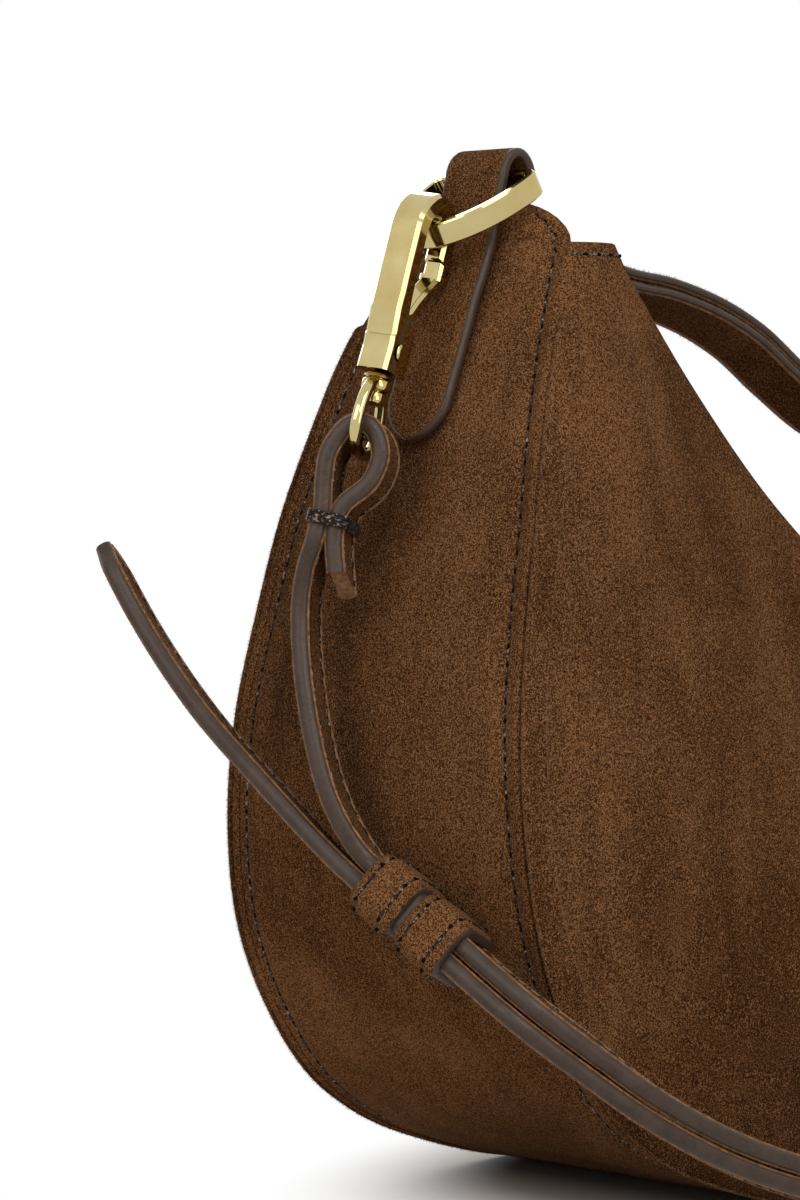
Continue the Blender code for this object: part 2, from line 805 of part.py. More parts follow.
def make_ring(name, side):
    """A D of flat metal: a straight bar, round corners and half an ellipse."""
    half = (RING_WIDTH - RING_METAL) / 2
    far_corner = []
    for step in range(5):
        turn = math.pi / 2 * step / 4
        back = RING_CORNER * (1 - math.cos(turn))
        far_corner.append((back, half - RING_CORNER * (1 - math.sin(turn))))
    near_corner = [(u, -y) for u, y in reversed(far_corner)]
    reach = RING_LENGTH - RING_METAL - RING_CORNER
    bow = []
    for step in range(1, 16):
        turn = math.pi * step / 16
        bow.append((RING_CORNER + reach * math.sin(turn), half * math.cos(turn)))
    slope = Vector((-math.cos(RING_SLOPE), 0, -math.sin(RING_SLOPE)))
    outline = far_corner + bow + near_corner
    place = [ring_bar_place() + slope * u + Vector((0, y, 0)) for u, y in outline]
    place = to_side(place, side)
    axial = Vector((side * math.sin(RING_SLOPE), 0, math.cos(RING_SLOPE)))
    path = frames(place, axial, closed=True)
    bm = bar_mesh(path, block_section(RING_BAR, RING_METAL), closed=True)
    add_object(name, bm, metal("Ring metal"))


def make_ends():
    for name, side in SIDES:
        make_tab(f"tab_{name}", side)
        make_ring(f"ring_{name}", side)


# Snap hooks. Each hangs in its ring and leans out and back. Places on it are given
# as (outward, across, down) from the middle of the ring's bow.

def clasp_frame(side):
    """(origin, outward, across, down) of the hook at one side.

    It hangs a little to the front of the bow's middle and is turned to the front.
    """
    slope = Vector((-math.cos(RING_SLOPE), 0, -math.sin(RING_SLOPE)))
    reach = RING_LENGTH - RING_METAL - RING_CORNER
    half = (RING_WIDTH - RING_METAL) / 2
    origin = ring_bar_place() + slope * (RING_CORNER + reach * math.cos(HOOK_SEAT))
    origin.y = -half * math.sin(HOOK_SEAT)
    out = Vector((-math.cos(HOOK_TURN), -math.sin(HOOK_TURN), 0))
    back = Vector((-math.sin(HOOK_TURN), math.cos(HOOK_TURN), 0))
    down = out * math.sin(HOOK_LEAN_OUT) + back * math.sin(HOOK_LEAN_BACK)
    down = (down - Vector((0, 0, math.cos(HOOK_LEAN_OUT)))).normalized()
    out = (out - down * out.dot(down)).normalized()
    across = back - down * back.dot(down) - out * back.dot(out)
    frame = [origin, out, across.normalized(), down]
    return to_side(frame, side)


def clasp_place(frame, outward_by, across_by, down_by):
    origin, out, across, down = frame
    return origin + out * outward_by + across * across_by + down * down_by


def clasp_matrix(frame, outward_by, down_by):
    """Local Z points down the hook from the given place on it, local X points outward."""
    origin, out, across, down = frame
    turn = Matrix((out, down.cross(out), down)).transposed().to_4x4()
    return Matrix.Translation(clasp_place(frame, outward_by, 0, down_by)) @ turn


HOOK_REACH = HOOK_CROWN + HOOK_BAR / 2
CROWN_CENTRE = HOOK_CROWN - 6 * GAP - RING_REACH
BLOCK_MIDDLE = HOOK_REACH + HOOK_BAR / 2 - HOOK_BLOCK / 2
PIVOT = (BLOCK_MIDDLE, HOOK_SHANK + HOOK_BLOCK * 0.55)
BLOCK_END = HOOK_SHANK + HOOK_BLOCK * 1.1
NOSE_SLANT = 1.2 * (PIVOT[0] + HOOK_REACH) / (PIVOT[1] - HOOK_NOSE)


def slanted_end(path, frame):
    """The path with its last section cut aslant, so that the gate swings clear of the nose."""
    origin, out, across, down = frame
    point, width, through = path[-1]
    return path[:-1] + [(point, width, through - down * through.dot(out) * NOSE_SLANT)]


def make_hook(name, side):
    frame = clasp_frame(side)
    points = [
        (BLOCK_MIDDLE, BLOCK_END), (BLOCK_MIDDLE, HOOK_SHANK + HOOK_BAR / 4),
        (mix(BLOCK_MIDDLE, HOOK_REACH, 0.85), HOOK_SHANK * 0.88),
        (HOOK_REACH, HOOK_SHANK * 0.65), (HOOK_REACH, CROWN_CENTRE),
    ]
    widths = [HOOK_BLOCK, HOOK_BLOCK, mix(HOOK_BLOCK, HOOK_BAR, 0.85), HOOK_BAR, HOOK_BAR]
    for step in range(1, 9):
        turn = math.pi * step / 8
        points.append((HOOK_REACH * math.cos(turn), CROWN_CENTRE - HOOK_REACH * math.sin(turn)))
    points.append((-HOOK_REACH, HOOK_NOSE))
    widths += [HOOK_BAR] * (len(points) - len(widths))
    depths = [HOOK_DEPTH] * (len(points) - 6)
    depths += [mix(HOOK_DEPTH, GATE_DEPTH, share) for share in (0.2, 0.4, 0.6, 0.8, 1, 1)]
    sections = [block_section(depth, width) for depth, width in zip(depths, widths)]
    places = [clasp_place(frame, out, 0, down) for out, down in points]
    path = slanted_end(frames(places, frame[2]), frame)
    hook = add_object(name, bar_mesh(path, sections), metal("Hook metal"))
    slot_depth = GATE_TONGUE + 2 * GAP
    slot = (HOOK_BLOCK, slot_depth, HOOK_BLOCK * 1.4)
    offset = (-HOOK_BLOCK * 0.22, 0, -HOOK_BLOCK * 0.38)
    slot_cutter = cutter(f"{name} slot", box_mesh(slot, offset))
    slot_cutter.matrix_world = clasp_matrix(frame, *PIVOT)
    boolean(hook, "DIFFERENCE", slot_cutter)
    hole = cutter(f"{name} hole", rivet_mesh(RIVET_RADIUS + GAP, HOOK_DEPTH + OVERRUN))
    hole.matrix_world = clasp_matrix(frame, *PIVOT)
    boolean(hook, "DIFFERENCE", hole)


def rivet_mesh(radius, length):
    """A round bar across the hook, centred on its matrix's origin."""
    bm = turned_mesh([(0, 0), (radius, -length / 2), (radius, length / 2), (0, 0)], 16)
    bmesh.ops.rotate(bm, verts=bm.verts, matrix=Matrix.Rotation(math.pi / 2, 3, "X"))
    return bm


def make_rivet(name, side):
    half = HOOK_DEPTH / 2 + GAP
    profile = [
        (0, 0), (RIVET_HEAD * 0.8, -half - RIVET_HEAD_HEIGHT), (RIVET_HEAD, -half),
        (RIVET_RADIUS, -half), (RIVET_RADIUS, half), (RIVET_HEAD, half),
        (RIVET_HEAD * 0.8, half + RIVET_HEAD_HEIGHT), (0, 0),
    ]
    bm = turned_mesh(profile, 16)
    bmesh.ops.rotate(bm, verts=bm.verts, matrix=Matrix.Rotation(math.pi / 2, 3, "X"))
    rivet = add_object(name, bm, metal("Rivet metal"))
    rivet.matrix_world = clasp_matrix(clasp_frame(side), *PIVOT)


def make_gate(name, side):
    """The sprung arm that closes the hook, on its rivet."""
    frame = clasp_frame(side)
    top = HOOK_NOSE + GAP
    points = [
        (PIVOT[0], PIVOT[1] + RIVET_RADIUS * 2), PIVOT,
        (mix(PIVOT[0], -HOOK_REACH, 0.15), mix(PIVOT[1], top, 0.22)),
        (mix(PIVOT[0], -HOOK_REACH, 0.3), mix(PIVOT[1], top, 0.38)),
        (mix(PIVOT[0], -HOOK_REACH, 0.5), mix(PIVOT[1], top, 0.55)),
        (mix(PIVOT[0], -HOOK_REACH, 0.75), mix(PIVOT[1], top, 0.72)),
        (-HOOK_REACH, mix(PIVOT[1], top, 0.88)), (-HOOK_REACH, top),
    ]
    depths = [GATE_TONGUE] * 4 + [GATE_DEPTH] * 4
    widths = [RIVET_RADIUS * 3.6] * 2 + [GATE_THICKNESS] * 6
    sections = [block_section(depth, width) for depth, width in zip(depths, widths)]
    places = [clasp_place(frame, out, 0, down) for out, down in points]
    path = slanted_end(frames(places, frame[2]), frame)
    gate = add_object(name, bar_mesh(path, sections), metal("Gate metal"))
    hole = cutter(f"{name} hole", rivet_mesh(RIVET_RADIUS + GAP, HOOK_DEPTH + OVERRUN))
    hole.matrix_world = clasp_matrix(frame, *PIVOT)
    boolean(gate, "DIFFERENCE", hole)


STUD_TOP = BLOCK_END + GAP
SHACKLE_TOP = STUD_TOP + STUD_COLLAR_HEIGHT + GAP


def make_stud(name, side):
    """The swivel's stud: a collar under the hook, a neck and a head inside the shackle."""
    neck = SHACKLE_METAL + 2 * GAP
    head = STUD_COLLAR_HEIGHT + neck
    bottom = head + STUD_HEAD_HEIGHT
    head_radius = STUD_COLLAR * 0.82
    profile = [
        (0, 0), (STUD_COLLAR * 0.85, 0), (STUD_COLLAR, STUD_COLLAR_HEIGHT / 3),
        (STUD_COLLAR, STUD_COLLAR_HEIGHT), (STUD_RADIUS, STUD_COLLAR_HEIGHT), (STUD_RADIUS, head),
        (head_radius, head), (head_radius, mix(head, bottom, 0.7)), (head_radius * 0.6, bottom),
        (0, bottom),
    ]
    stud = add_object(name, turned_mesh(profile, 16), metal("Stud metal"))
    stud.matrix_world = clasp_matrix(clasp_frame(side), BLOCK_MIDDLE, STUD_TOP)


def strap_frame(side):
    """(bar middle, width direction, sideways direction, down) of the strap in its shackle."""
    frame = clasp_frame(side)
    down = frame[3]
    width = Vector((-side * math.cos(STRAP_TURN), math.sin(STRAP_TURN), 0))
    width = (width - down * width.dot(down)).normalized()
    sideways = Vector((side * math.sin(STRAP_TURN), math.cos(STRAP_TURN), 0))
    sideways = (sideways - down * sideways.dot(down) - width * sideways.dot(width)).normalized()
    middle = clasp_place(frame, BLOCK_MIDDLE, 0, SHACKLE_TOP + SHACKLE_METAL / 2)
    return middle + down * SHACKLE_LENGTH, width, sideways, down


def make_shackle(name, side):
    """A stirrup that turns on the stud and carries the strap on its bottom bar."""
    middle, width, sideways, down = strap_frame(side)
    top = STRAP_WIDTH * 0.26
    half = STRAP_WIDTH / 2 + SHACKLE_METAL / 2 + 4 * GAP
    corner = SHACKLE_METAL * 0.6
    right = [
        (top, -SHACKLE_LENGTH), (mix(top, half, 0.6), -SHACKLE_LENGTH * 0.87),
        (half, -SHACKLE_LENGTH * 0.6), (half, -corner), (half - corner, 0),
    ]
    left = [(-w, d) for w, d in reversed(right)]
    places = [middle + width * w + down * d for w, d in right + left]
    path = frames(places, sideways, closed=True)
    bm = bar_mesh(path, block_section(SHACKLE_METAL, SHACKLE_METAL), closed=True)
    shackle = add_object(name, bm, metal("Shackle metal"))
    matrix = clasp_matrix(clasp_frame(side), BLOCK_MIDDLE, SHACKLE_TOP)
    boss_profile = [(0, 0), (SHACKLE_BOSS, 0), (SHACKLE_BOSS, SHACKLE_METAL), (0, SHACKLE_METAL)]
    boss = cutter(f"{name} boss", turned_mesh(boss_profile, 16))
    boss.matrix_world = matrix
    boolean(shackle, "UNION", boss)
    radius = STUD_RADIUS + GAP
    hole_profile = [
        (0, -OVERRUN), (radius, -OVERRUN), (radius, SHACKLE_METAL + OVERRUN),
        (0, SHACKLE_METAL + OVERRUN),
    ]
    hole = cutter(f"{name} hole", turned_mesh(hole_profile, 16))
    hole.matrix_world = matrix
    boolean(shackle, "DIFFERENCE", hole)


def make_clasps():
    for name, side in SIDES:
        make_hook(f"hook_{name}", side)
        make_rivet(f"gate_rivet_{name}", side)
        make_gate(f"gate_{name}", side)
        make_stud(f"swivel_stud_{name}", side)
        make_shackle(f"shackle_{name}", side)


# Long strap. One end is bound round the left shackle. From there it drops to the
# keeper, runs along the floor in front of the bag, up and through the right shackle,
# and back beside itself through the keeper to its free tip.

def loop_points(side, pairs):
    middle, width, sideways, down = strap_frame(side)
    return [middle + sideways * p - down * up for p, up in pairs]


def left_loop_pairs():
    near = STRAP_THICKNESS * 0.05
    far = near + STRAP_THICKNESS + GAP * 2
    straight = BINDING_HEIGHT * 0.75
    top = SHACKLE_METAL / 2 + STRAP_THICKNESS / 2 + 3 * GAP
    flat = SHACKLE_METAL / 2
    bulge = STRAP_THICKNESS * 1.8
    return [
        (-STRAP_THICKNESS * 0.7, -BINDING_DROP - STRAP_THICKNESS * 3.4),
        (near, -BINDING_DROP - straight), (near, -BINDING_DROP + straight),
        (-bulge * 0.9, -BINDING_DROP * 0.42), (-bulge, -BINDING_DROP * 0.1),
        (-flat, top), (flat, top),
        (bulge, -BINDING_DROP * 0.15), (bulge * 0.95, -BINDING_DROP * 0.55),
        (far, -BINDING_DROP + straight), (far, -BINDING_DROP - straight),
    ]


def right_loop_pairs():
    half = STRAP_SPACING / 2
    top = SHACKLE_METAL / 2 + STRAP_THICKNESS / 2 + 3 * GAP
    flat = SHACKLE_METAL / 2
    wide = STRAP_THICKNESS * 1.7
    side = [
        (half, -BINDING_DROP - STRAP_THICKNESS), (half, -BINDING_DROP),
        (wide, -BINDING_DROP * 0.5), (wide, -BINDING_DROP * 0.15),
    ]
    left = [(-p, up) for p, up in side]
    return left + [(-flat, top), (flat, top)] + side[::-1]


def ribbon(name, path):
    """A length of the strap along (point, width, through) frames."""
    bm = bar_mesh(path, plain_section(STRAP_WIDTH, STRAP_THICKNESS))
    return add_object(name, bm, suede("Strap suede"))


def trimmed(path):
    """The path with half a clearance taken off each end."""
    made = [list(frame) for frame in path]
    for end, inner in ((0, 1), (-1, -2)):
        inward = (made[inner][0] - made[end][0]).normalized()
        made[end][0] = made[end][0] + inward * GAP / 2
    return made


def place_by_bag(shares):
    """A place from its shares of half the length, of half the depth and of the height."""
    x, y, z = shares
    return Vector((x * LENGTH / 2, y * DEPTH / 2, z * HEIGHT))


def shifted(path, distance):
    return [(point + through * distance, width, through) for point, width, through in path]


def strap_route():
    """The main strand's frames from the left loop's end to the right loop's first end."""
    left = loop_points(-1, left_loop_pairs())[-1]
    right = loop_points(1, right_loop_pairs())[0]
    places = [left, left + strap_frame(-1)[3] * STRAP_THICKNESS]
    widths = [strap_frame(-1)[1]] * 2
    places += [place_by_bag(place) for place, width in STRAP_ROUTE_SHARES]
    widths += [Vector(width) for place, width in STRAP_ROUTE_SHARES]
    places += [right + strap_frame(1)[3] * STRAP_THICKNESS, right]
    widths += [strap_frame(1)[1]] * 2
    return frames(smooth_curve(places, ROUTE_STEPS), steady_steps(widths, ROUTE_STEPS))


def make_strap():
    route = strap_route()
    lower = shifted(route, -STRAP_SPACING)
    keeper = KEEPER_START * ROUTE_STEPS
    rise = RISE_START * ROUTE_STEPS
    left = smooth_curve(loop_points(-1, left_loop_pairs()), LOOP_STEPS)
    ribbon("strap_left_loop", trimmed(frames(left, strap_frame(-1)[1])))
    right = smooth_curve(loop_points(1, right_loop_pairs()), LOOP_STEPS)
    ribbon("strap_right_loop", trimmed(frames(right, strap_frame(1)[1])))
    ribbon("strap_left_drop", trimmed(route[:keeper + 1]))
    ribbon("strap_upper_run", trimmed(route[keeper:rise + 1]))
    ribbon("strap_lower_run", trimmed(lower[keeper:rise + 1]))
    ribbon("strap_right_rise_inner", trimmed(route[rise:]))
    ribbon("strap_right_rise_outer", trimmed(lower[rise:]))
    make_tip(lower[keeper:keeper + 2])


def make_tip(entry):
    """The free end beyond the keeper, rounded off at its tip."""
    places = [place_by_bag(place) for place, width in TIP_ROUTE_SHARES]
    widths = [Vector(width) for place, width in TIP_ROUTE_SHARES]
    back = (entry[0][0] - entry[1][0]).normalized() * STRAP_THICKNESS
    places += [entry[0][0] + back, entry[0][0], entry[1][0]]
    widths += [entry[0][1]] * 3
    path = frames(smooth_curve(places, ROUTE_STEPS), steady_steps(widths, ROUTE_STEPS))
    path = trimmed(path[:-ROUTE_STEPS])
    sections = []
    for index in range(len(path)):
        share = min(1, 0.6 + 0.2 * index)
        sections.append(block_section(STRAP_WIDTH * share, STRAP_THICKNESS, 0.25))
    add_object("strap_tip", bar_mesh(path, sections), suede("Strap suede"))


def rounded_section(width, thickness, corner, steps=3):
    """A rectangle with round corners, as (across, through) pairs."""
    made = []
    for cx, cy, start in ((1, 1, 0), (-1, 1, 90), (-1, -1, 180), (1, -1, 270)):
        for step in range(steps + 1):
            turn = math.radians(start + 90 * step / steps)
            a = cx * (width / 2 - corner) + corner * math.cos(turn)
            made.append((a, cy * (thickness / 2 - corner) + corner * math.sin(turn)))
    return made


def make_binding():
    """Thread wound round both strands under the left shackle."""
    middle, width, sideways, down = strap_frame(-1)
    pairs = left_loop_pairs()
    offset = (pairs[2][0] + pairs[-1][0]) / 2
    start = middle + sideways * offset + down * (BINDING_DROP - BINDING_HEIGHT / 2)
    through = pairs[-1][0] - pairs[2][0] + STRAP_THICKNESS
    across = STRAP_WIDTH + 2 * GAP
    inner = rounded_section(across, through + 2 * GAP, GAP)
    outers = []
    path = []
    wraps = 4
    for step in range(2 * wraps + 1):
        path.append((start + down * BINDING_HEIGHT * step / (2 * wraps), width, sideways))
        wall = BINDING_THICKNESS * (1 if step % 2 else 0.5)
        outers.append(rounded_section(across + 2 * wall, through + 2 * GAP + 2 * wall, GAP + wall))
    add_object("strap_binding", sleeve_mesh(path, outers, inner), material("Thread", THREAD, 0.6))


def make_keeper():
    """The suede keeper: two lobes with a slot between them, round both strands."""
    route = strap_route()
    start = route[KEEPER_START * ROUTE_STEPS]
    stop = route[(KEEPER_START + 1) * ROUTE_STEPS]
    along = (stop[0] - start[0]).normalized()
    middle = start[0] - start[2] * STRAP_SPACING / 2 + along * (GAP + STRAP_THICKNESS / 4)
    clear = 2 * KEEPER_CLEARANCE
    width = STRAP_WIDTH + clear
    depth = STRAP_SPACING + STRAP_THICKNESS + clear
    inner = rounded_section(width, depth, KEEPER_CLEARANCE)
    outers = []
    path = []
    for share, wall_share in KEEPER_SHARES:
        wall = KEEPER_WALL * wall_share
        path.append((middle + along * KEEPER_LENGTH * share, start[1], start[2]))
        outers.append(rounded_section(width + 2 * wall, depth + 2 * wall, KEEPER_CLEARANCE + wall))
    add_object("strap_keeper", sleeve_mesh(path, outers, inner), suede("Keeper suede"))


# Short handle: two straps, one above the other, sewn to the end patches

def make_handle():
    half = [Vector((-x * LENGTH / 2, 0, HEIGHT - drop * HANDLE_DROP)) for x, drop, roll in HANDLE_SHARES]
    points = smooth_curve(half + to_side(reversed(half[:-1]), 1), ROUTE_STEPS)
    rolls = [roll * HANDLE_ROLL for x, drop, roll in HANDLE_SHARES]
    turns = steady_steps(rolls + rolls[-2::-1], ROUTE_STEPS)
    widths = [Vector((0, math.cos(turn), -math.sin(turn))) for turn in turns]
    path = frames(points, widths)
    for name, level in (("handle_upper", 0), ("handle_lower", 1)):
        section = plain_section(HANDLE_WIDTH, HANDLE_THICKNESS)
        bm = bar_mesh(shifted(path, -level * HANDLE_SPACING), section)
        add_object(name, bm, suede("Handle suede"))


def main():
    clear_scene()
    material("Cutter", SUEDE, 1)
    make_body()
    make_zip()
    make_ends()
    make_clasps()
    make_strap()
    make_binding()
    make_keeper()
    make_handle()


main()
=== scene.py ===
"""The looks of a crescent shoulder bag in suede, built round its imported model.

Units are metres. X runs along the bag, -Y is its front, +Z is up.
"""

import math

import bmesh
import bpy
from mathutils import Matrix, Vector, noise


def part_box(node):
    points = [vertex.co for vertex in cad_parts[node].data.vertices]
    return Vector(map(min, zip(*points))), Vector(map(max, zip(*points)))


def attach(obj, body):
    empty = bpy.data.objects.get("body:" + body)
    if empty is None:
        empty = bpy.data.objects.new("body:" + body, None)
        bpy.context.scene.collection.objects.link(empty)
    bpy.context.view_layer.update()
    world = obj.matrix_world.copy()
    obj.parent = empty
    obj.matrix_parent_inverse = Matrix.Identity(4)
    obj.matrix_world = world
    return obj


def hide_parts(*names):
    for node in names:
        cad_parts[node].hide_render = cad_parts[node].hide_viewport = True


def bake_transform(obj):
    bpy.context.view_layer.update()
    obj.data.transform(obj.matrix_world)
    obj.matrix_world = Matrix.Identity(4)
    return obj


bl_info = {
    "name": "Suede Shoulder Bag",
    "version": (1, 0, 0),
    "blender": (4, 5, 0),
    "location": "View3D > Sidebar > Bag",
    "description": "Builds the suede, the metal fittings and the stage of a shoulder bag",
    "category": "Object",
}

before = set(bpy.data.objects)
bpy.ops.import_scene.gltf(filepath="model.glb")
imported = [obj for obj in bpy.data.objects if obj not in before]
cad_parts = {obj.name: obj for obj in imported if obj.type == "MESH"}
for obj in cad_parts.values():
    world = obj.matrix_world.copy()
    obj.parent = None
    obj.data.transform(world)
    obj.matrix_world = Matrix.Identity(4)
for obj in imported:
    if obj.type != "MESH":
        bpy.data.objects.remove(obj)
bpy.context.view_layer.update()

MM = 0.001
GAP = 0.3 * MM

# Sizes of the solids, which these pieces dress
LENGTH = 336 * MM
HEIGHT = 213.5 * MM
DEPTH = 95 * MM
TONGUE_RISE = 10 * MM
OPENING_DEPTH = 62 * MM
PANEL_THICKNESS = 2.2 * MM
PANEL_CROWN = 9 * MM
GUSSET_THICKNESS = 2 * MM
GUSSET_CROWN = 6 * MM
WELT_WIDTH = 8.4 * MM
WELT_THICKNESS = 1.6 * MM
LINING_THICKNESS = 0.8 * MM
LINING_INSET = 8 * MM
LINING_TOP_INSET = 12 * MM
FACING_THICKNESS = 1.6 * MM
FACING_DROP = 3 * MM
FACING_SAG = 2 * MM
TAPE_THICKNESS = 0.8 * MM
TAPE_SEAM = 3 * MM
TAPE_SHOWING = 4.5 * MM
CHAIN_WIDTH = 2.4 * MM
CHAIN_HEIGHT = 2.2 * MM
CHAIN_END_GAP = 2.4 * MM
ZIP_OPEN_GAP = 26 * MM
TAB_WIDTH = 19 * MM
TAB_THICKNESS = 2.2 * MM
TAB_LENGTH = 48 * MM
TAB_INNER_LENGTH = 18 * MM
TAB_INNER_WIDTH = 13 * MM
TAB_TIP = 9 * MM
TAB_SLACK = 2.2 * MM
RING_WIDTH = 33 * MM
RING_LENGTH = 26 * MM
RING_BAR = 5.4 * MM
RING_METAL = 2.2 * MM
RING_CORNER = 3 * MM
RING_SLOPE = math.radians(31)
HOOK_BAR = 4.8 * MM
HOOK_DEPTH = 7.8 * MM
HOOK_CROWN = 4.8 * MM
HOOK_SHANK = 22.4 * MM
HOOK_NOSE = 5 * MM
HOOK_BLOCK = 9 * MM
HOOK_LEAN_OUT = math.radians(14)
HOOK_LEAN_BACK = math.radians(7)
HOOK_TURN = math.radians(15)
HOOK_SEAT = math.radians(3)
GATE_THICKNESS = 3.2 * MM
GATE_DEPTH = 4.8 * MM
GATE_TONGUE = 3 * MM
RIVET_RADIUS = 1.1 * MM
RIVET_HEAD = 2 * MM
RIVET_HEAD_HEIGHT = 0.6 * MM
STUD_COLLAR = 3.3 * MM
STUD_COLLAR_HEIGHT = 1 * MM
STUD_RADIUS = 1.6 * MM
STUD_HEAD_HEIGHT = 3 * MM
SHACKLE_METAL = 2.5 * MM
SHACKLE_BOSS = 3.4 * MM
SHACKLE_LENGTH = 13.2 * MM
STRAP_WIDTH = 12 * MM
STRAP_THICKNESS = 3.5 * MM
STRAP_SPACING = 4.7 * MM
STRAP_TURN = math.radians(32)
BINDING_DROP = 18 * MM
BINDING_HEIGHT = 3.4 * MM
KEEPER_LENGTH = 27 * MM
KEEPER_WALL = 2.2 * MM
KEEPER_CLEARANCE = 0.4 * MM
HANDLE_WIDTH = 16 * MM
HANDLE_THICKNESS = 1.8 * MM
HANDLE_SPACING = 3 * MM
HANDLE_DROP = 40 * MM

# Roll of the visible handle at its middle, which is less than that of its solids
HANDLE_ROLL = math.radians(14)

# Details that only show on the visible pieces
STITCH_INSET = 2.2 * MM
TOP_ROW_DROP = 2.4 * MM
KEEPER_STITCH_PITCH = 3 * MM
KEEPER_CORNER = 1.5 * MM
TOOTH_PITCH = 2.1 * MM
TOOTH_CORNER = 0.3 * MM
BINDING_WRAPS = 5
RING_FACET = 0.35 * MM
HOOK_FACET = 0.8 * MM
GATE_FACET = 0.7 * MM
FACET_ANGLE = 16
WELT_NARROWING = 30 * MM

# How far the suede stands past the paint along the edges of a strap, and how wide that rim is
RIM_RISE = 0.36 * MM
RIM_WIDTH = 0.55 * MM

# Half of the side outline and of the top edge, as shares of half the length and of the height
OUTLINE_SHARES = [
    (0.786, 1), (0.857, 0.911), (0.914, 0.795), (0.943, 0.719), (0.974, 0.617),
    (0.998, 0.511), (1, 0.391), (0.978, 0.29), (0.924, 0.197), (0.845, 0.117),
    (0.766, 0.074), (0.629, 0.031), (0.446, 0), (0.3, 0), (0.15, 0), (0, 0),
]
RIM_SHARES = [
    (0.708, 1), (0.69, 0.975), (0.66, 0.942), (0.555, 0.838), (0.42, 0.728),
    (0.25, 0.63), (0.12, 0.585), (0, 0.572),
]

# Seam-to-seam depth and outward crown of the gusset at each height share
DEPTH_SHARES = [
    (0, 1), (0.3, 1), (0.39, 0.98), (0.51, 0.935), (0.62, 0.88), (0.72, 0.83),
    (0.8, 0.762), (0.91, 0.66), (1, 0.526), (1.1, 0.45),
]
CROWN_SHARES = [
    (0, 0), (0.12, 0), (0.3, 0.3), (0.5, 0.45), (0.7, 0.3), (0.87, 0.17),
    (0.93, 0.4), (1, 1), (1.05, 0),
]

# Half of the handle: share of half the length, share of the droop and share of the roll
HANDLE_SHARES = [
    (0.776, 0.04, 0), (0.71, 0.04, 0), (0.64, 0.06, 0.3), (0.571, 0.15, 0.8), (0.482, 0.21, 1),
    (0.369, 0.34, 1), (0.304, 0.46, 1), (0.22, 0.68, 1), (0.107, 0.93, 1), (0, 1, 1),
]

# Route of the main strand, each place as shares of half the length, of half the depth and
# of the height, with its width direction
STRAP_ROUTE_SHARES = [
    ((-1.0595, 0.2147, 0.6557), (0.86, 0.5, 0)),
    ((-1.0774, 0.1474, 0.5808), (0.84, 0.54, 0)),
    ((-1.0893, 0.0211, 0.4965), (0.84, 0.54, -0.1)),
    ((-1.0863, -0.1053, 0.4262), (0.86, 0.45, -0.25)),
    ((-1.0631, -0.2421, 0.3775), (0.87, 0.34, -0.35)),
    ((-1.0607, -0.2947, 0.37), (0.87, 0.34, -0.35)),
    ((-1.0345, -0.9263, 0.2787), (0.87, 0.34, -0.35)),
    ((-1.0321, -0.9789, 0.2712), (0.87, 0.34, -0.35)),
    ((-1.0149, -1.1789, 0.2412), (0.7, 0.7, 0)),
    ((-0.9643, -1.2842, 0.2061), (0.58, 0.8, 0.1)),
    ((-0.9024, -1.3895, 0.1653), (0.45, 0.88, 0.1)),
    ((-0.8167, -1.4737, 0.1237), (0.3, 0.95, 0.1)),
    ((-0.6815, -1.5368, 0.0782), (0.15, 0.98, 0)),
    ((-0.5238, -1.5789, 0.0445), (0.05, 1, 0)),
    ((-0.3571, -1.6, 0.0337), (0, 1, 0)),
    ((0, -1.6, 0.0323), (0, 1, 0)),
    ((0.3571, -1.6, 0.0337), (0, 1, 0)),
    ((0.5238, -1.5789, 0.0445), (-0.05, 1, 0)),
    ((0.6815, -1.5368, 0.0796), (-0.15, 0.98, 0)),
    ((0.8167, -1.4737, 0.1265), (-0.3, 0.95, 0)),
    ((0.9107, -1.3895, 0.1756), (-0.45, 0.88, 0)),
    ((0.9881, -1.2, 0.2342), (-0.62, 0.78, 0)),
    ((1.0476, -0.9053, 0.3091), (-0.8, 0.6, 0)),
    ((1.0774, -0.5263, 0.4028), (-0.88, 0.47, 0)),
    ((1.0863, -0.1684, 0.5152), (-0.87, 0.5, 0)),
    ((1.0714, 0.0632, 0.6183), (-0.85, 0.53, 0)),
]

# Route of the free end in the same shares, from its tip to the keeper
TIP_ROUTE_SHARES = [
    ((-1.125, 1.3895, 0.6885), (0.8, 0.5, -0.3)),
    ((-1.1131, 1.1368, 0.6089), (0.83, 0.45, -0.32)),
    ((-1.1071, 0.7579, 0.5246), (0.86, 0.38, -0.34)),
    ((-1.1012, 0.2947, 0.4473), (0.87, 0.34, -0.35)),
]
KEEPER_START = 7
RISE_START = 22

SIDES = (("left", -1), ("right", 1))
WELT_START_SHARE = 0.92
FACING_START_SHARE = 0.95
ZIP_PARALLEL_SHARE = 0.35

# How finely the pieces are drawn
SIDE_STATIONS = 200
PANEL_ROWS = 28
STRAP_STEPS = 9
LOOP_STEPS = 9

# Half the floor's side, and the distances from the middle over which it fades to white
FLOOR_REACH = 3
FLOOR_FADE = (0.06, 0.1)

# Lamps as (name, place in metres, width and height, power), and the place they point at
LAMP_TARGET = (-0.1, 0, 0.12)
LAMPS = [
    ("Key", (-0.45, -0.8, 1.1), (0.8, 0.8), 6),
    ("Left", (-1.05, -0.05, 0.7), (0.6, 0.6), 2.6),
    ("Front", (-0.35, -1.05, 0.3), (0.5, 0.6), 2),
    ("Glint", (-0.95, -0.8, 0.95), (0.2, 0.2), 2.6),
    ("Back", (0.55, 1.05, 0.75), (0.8, 0.8), 6),
]

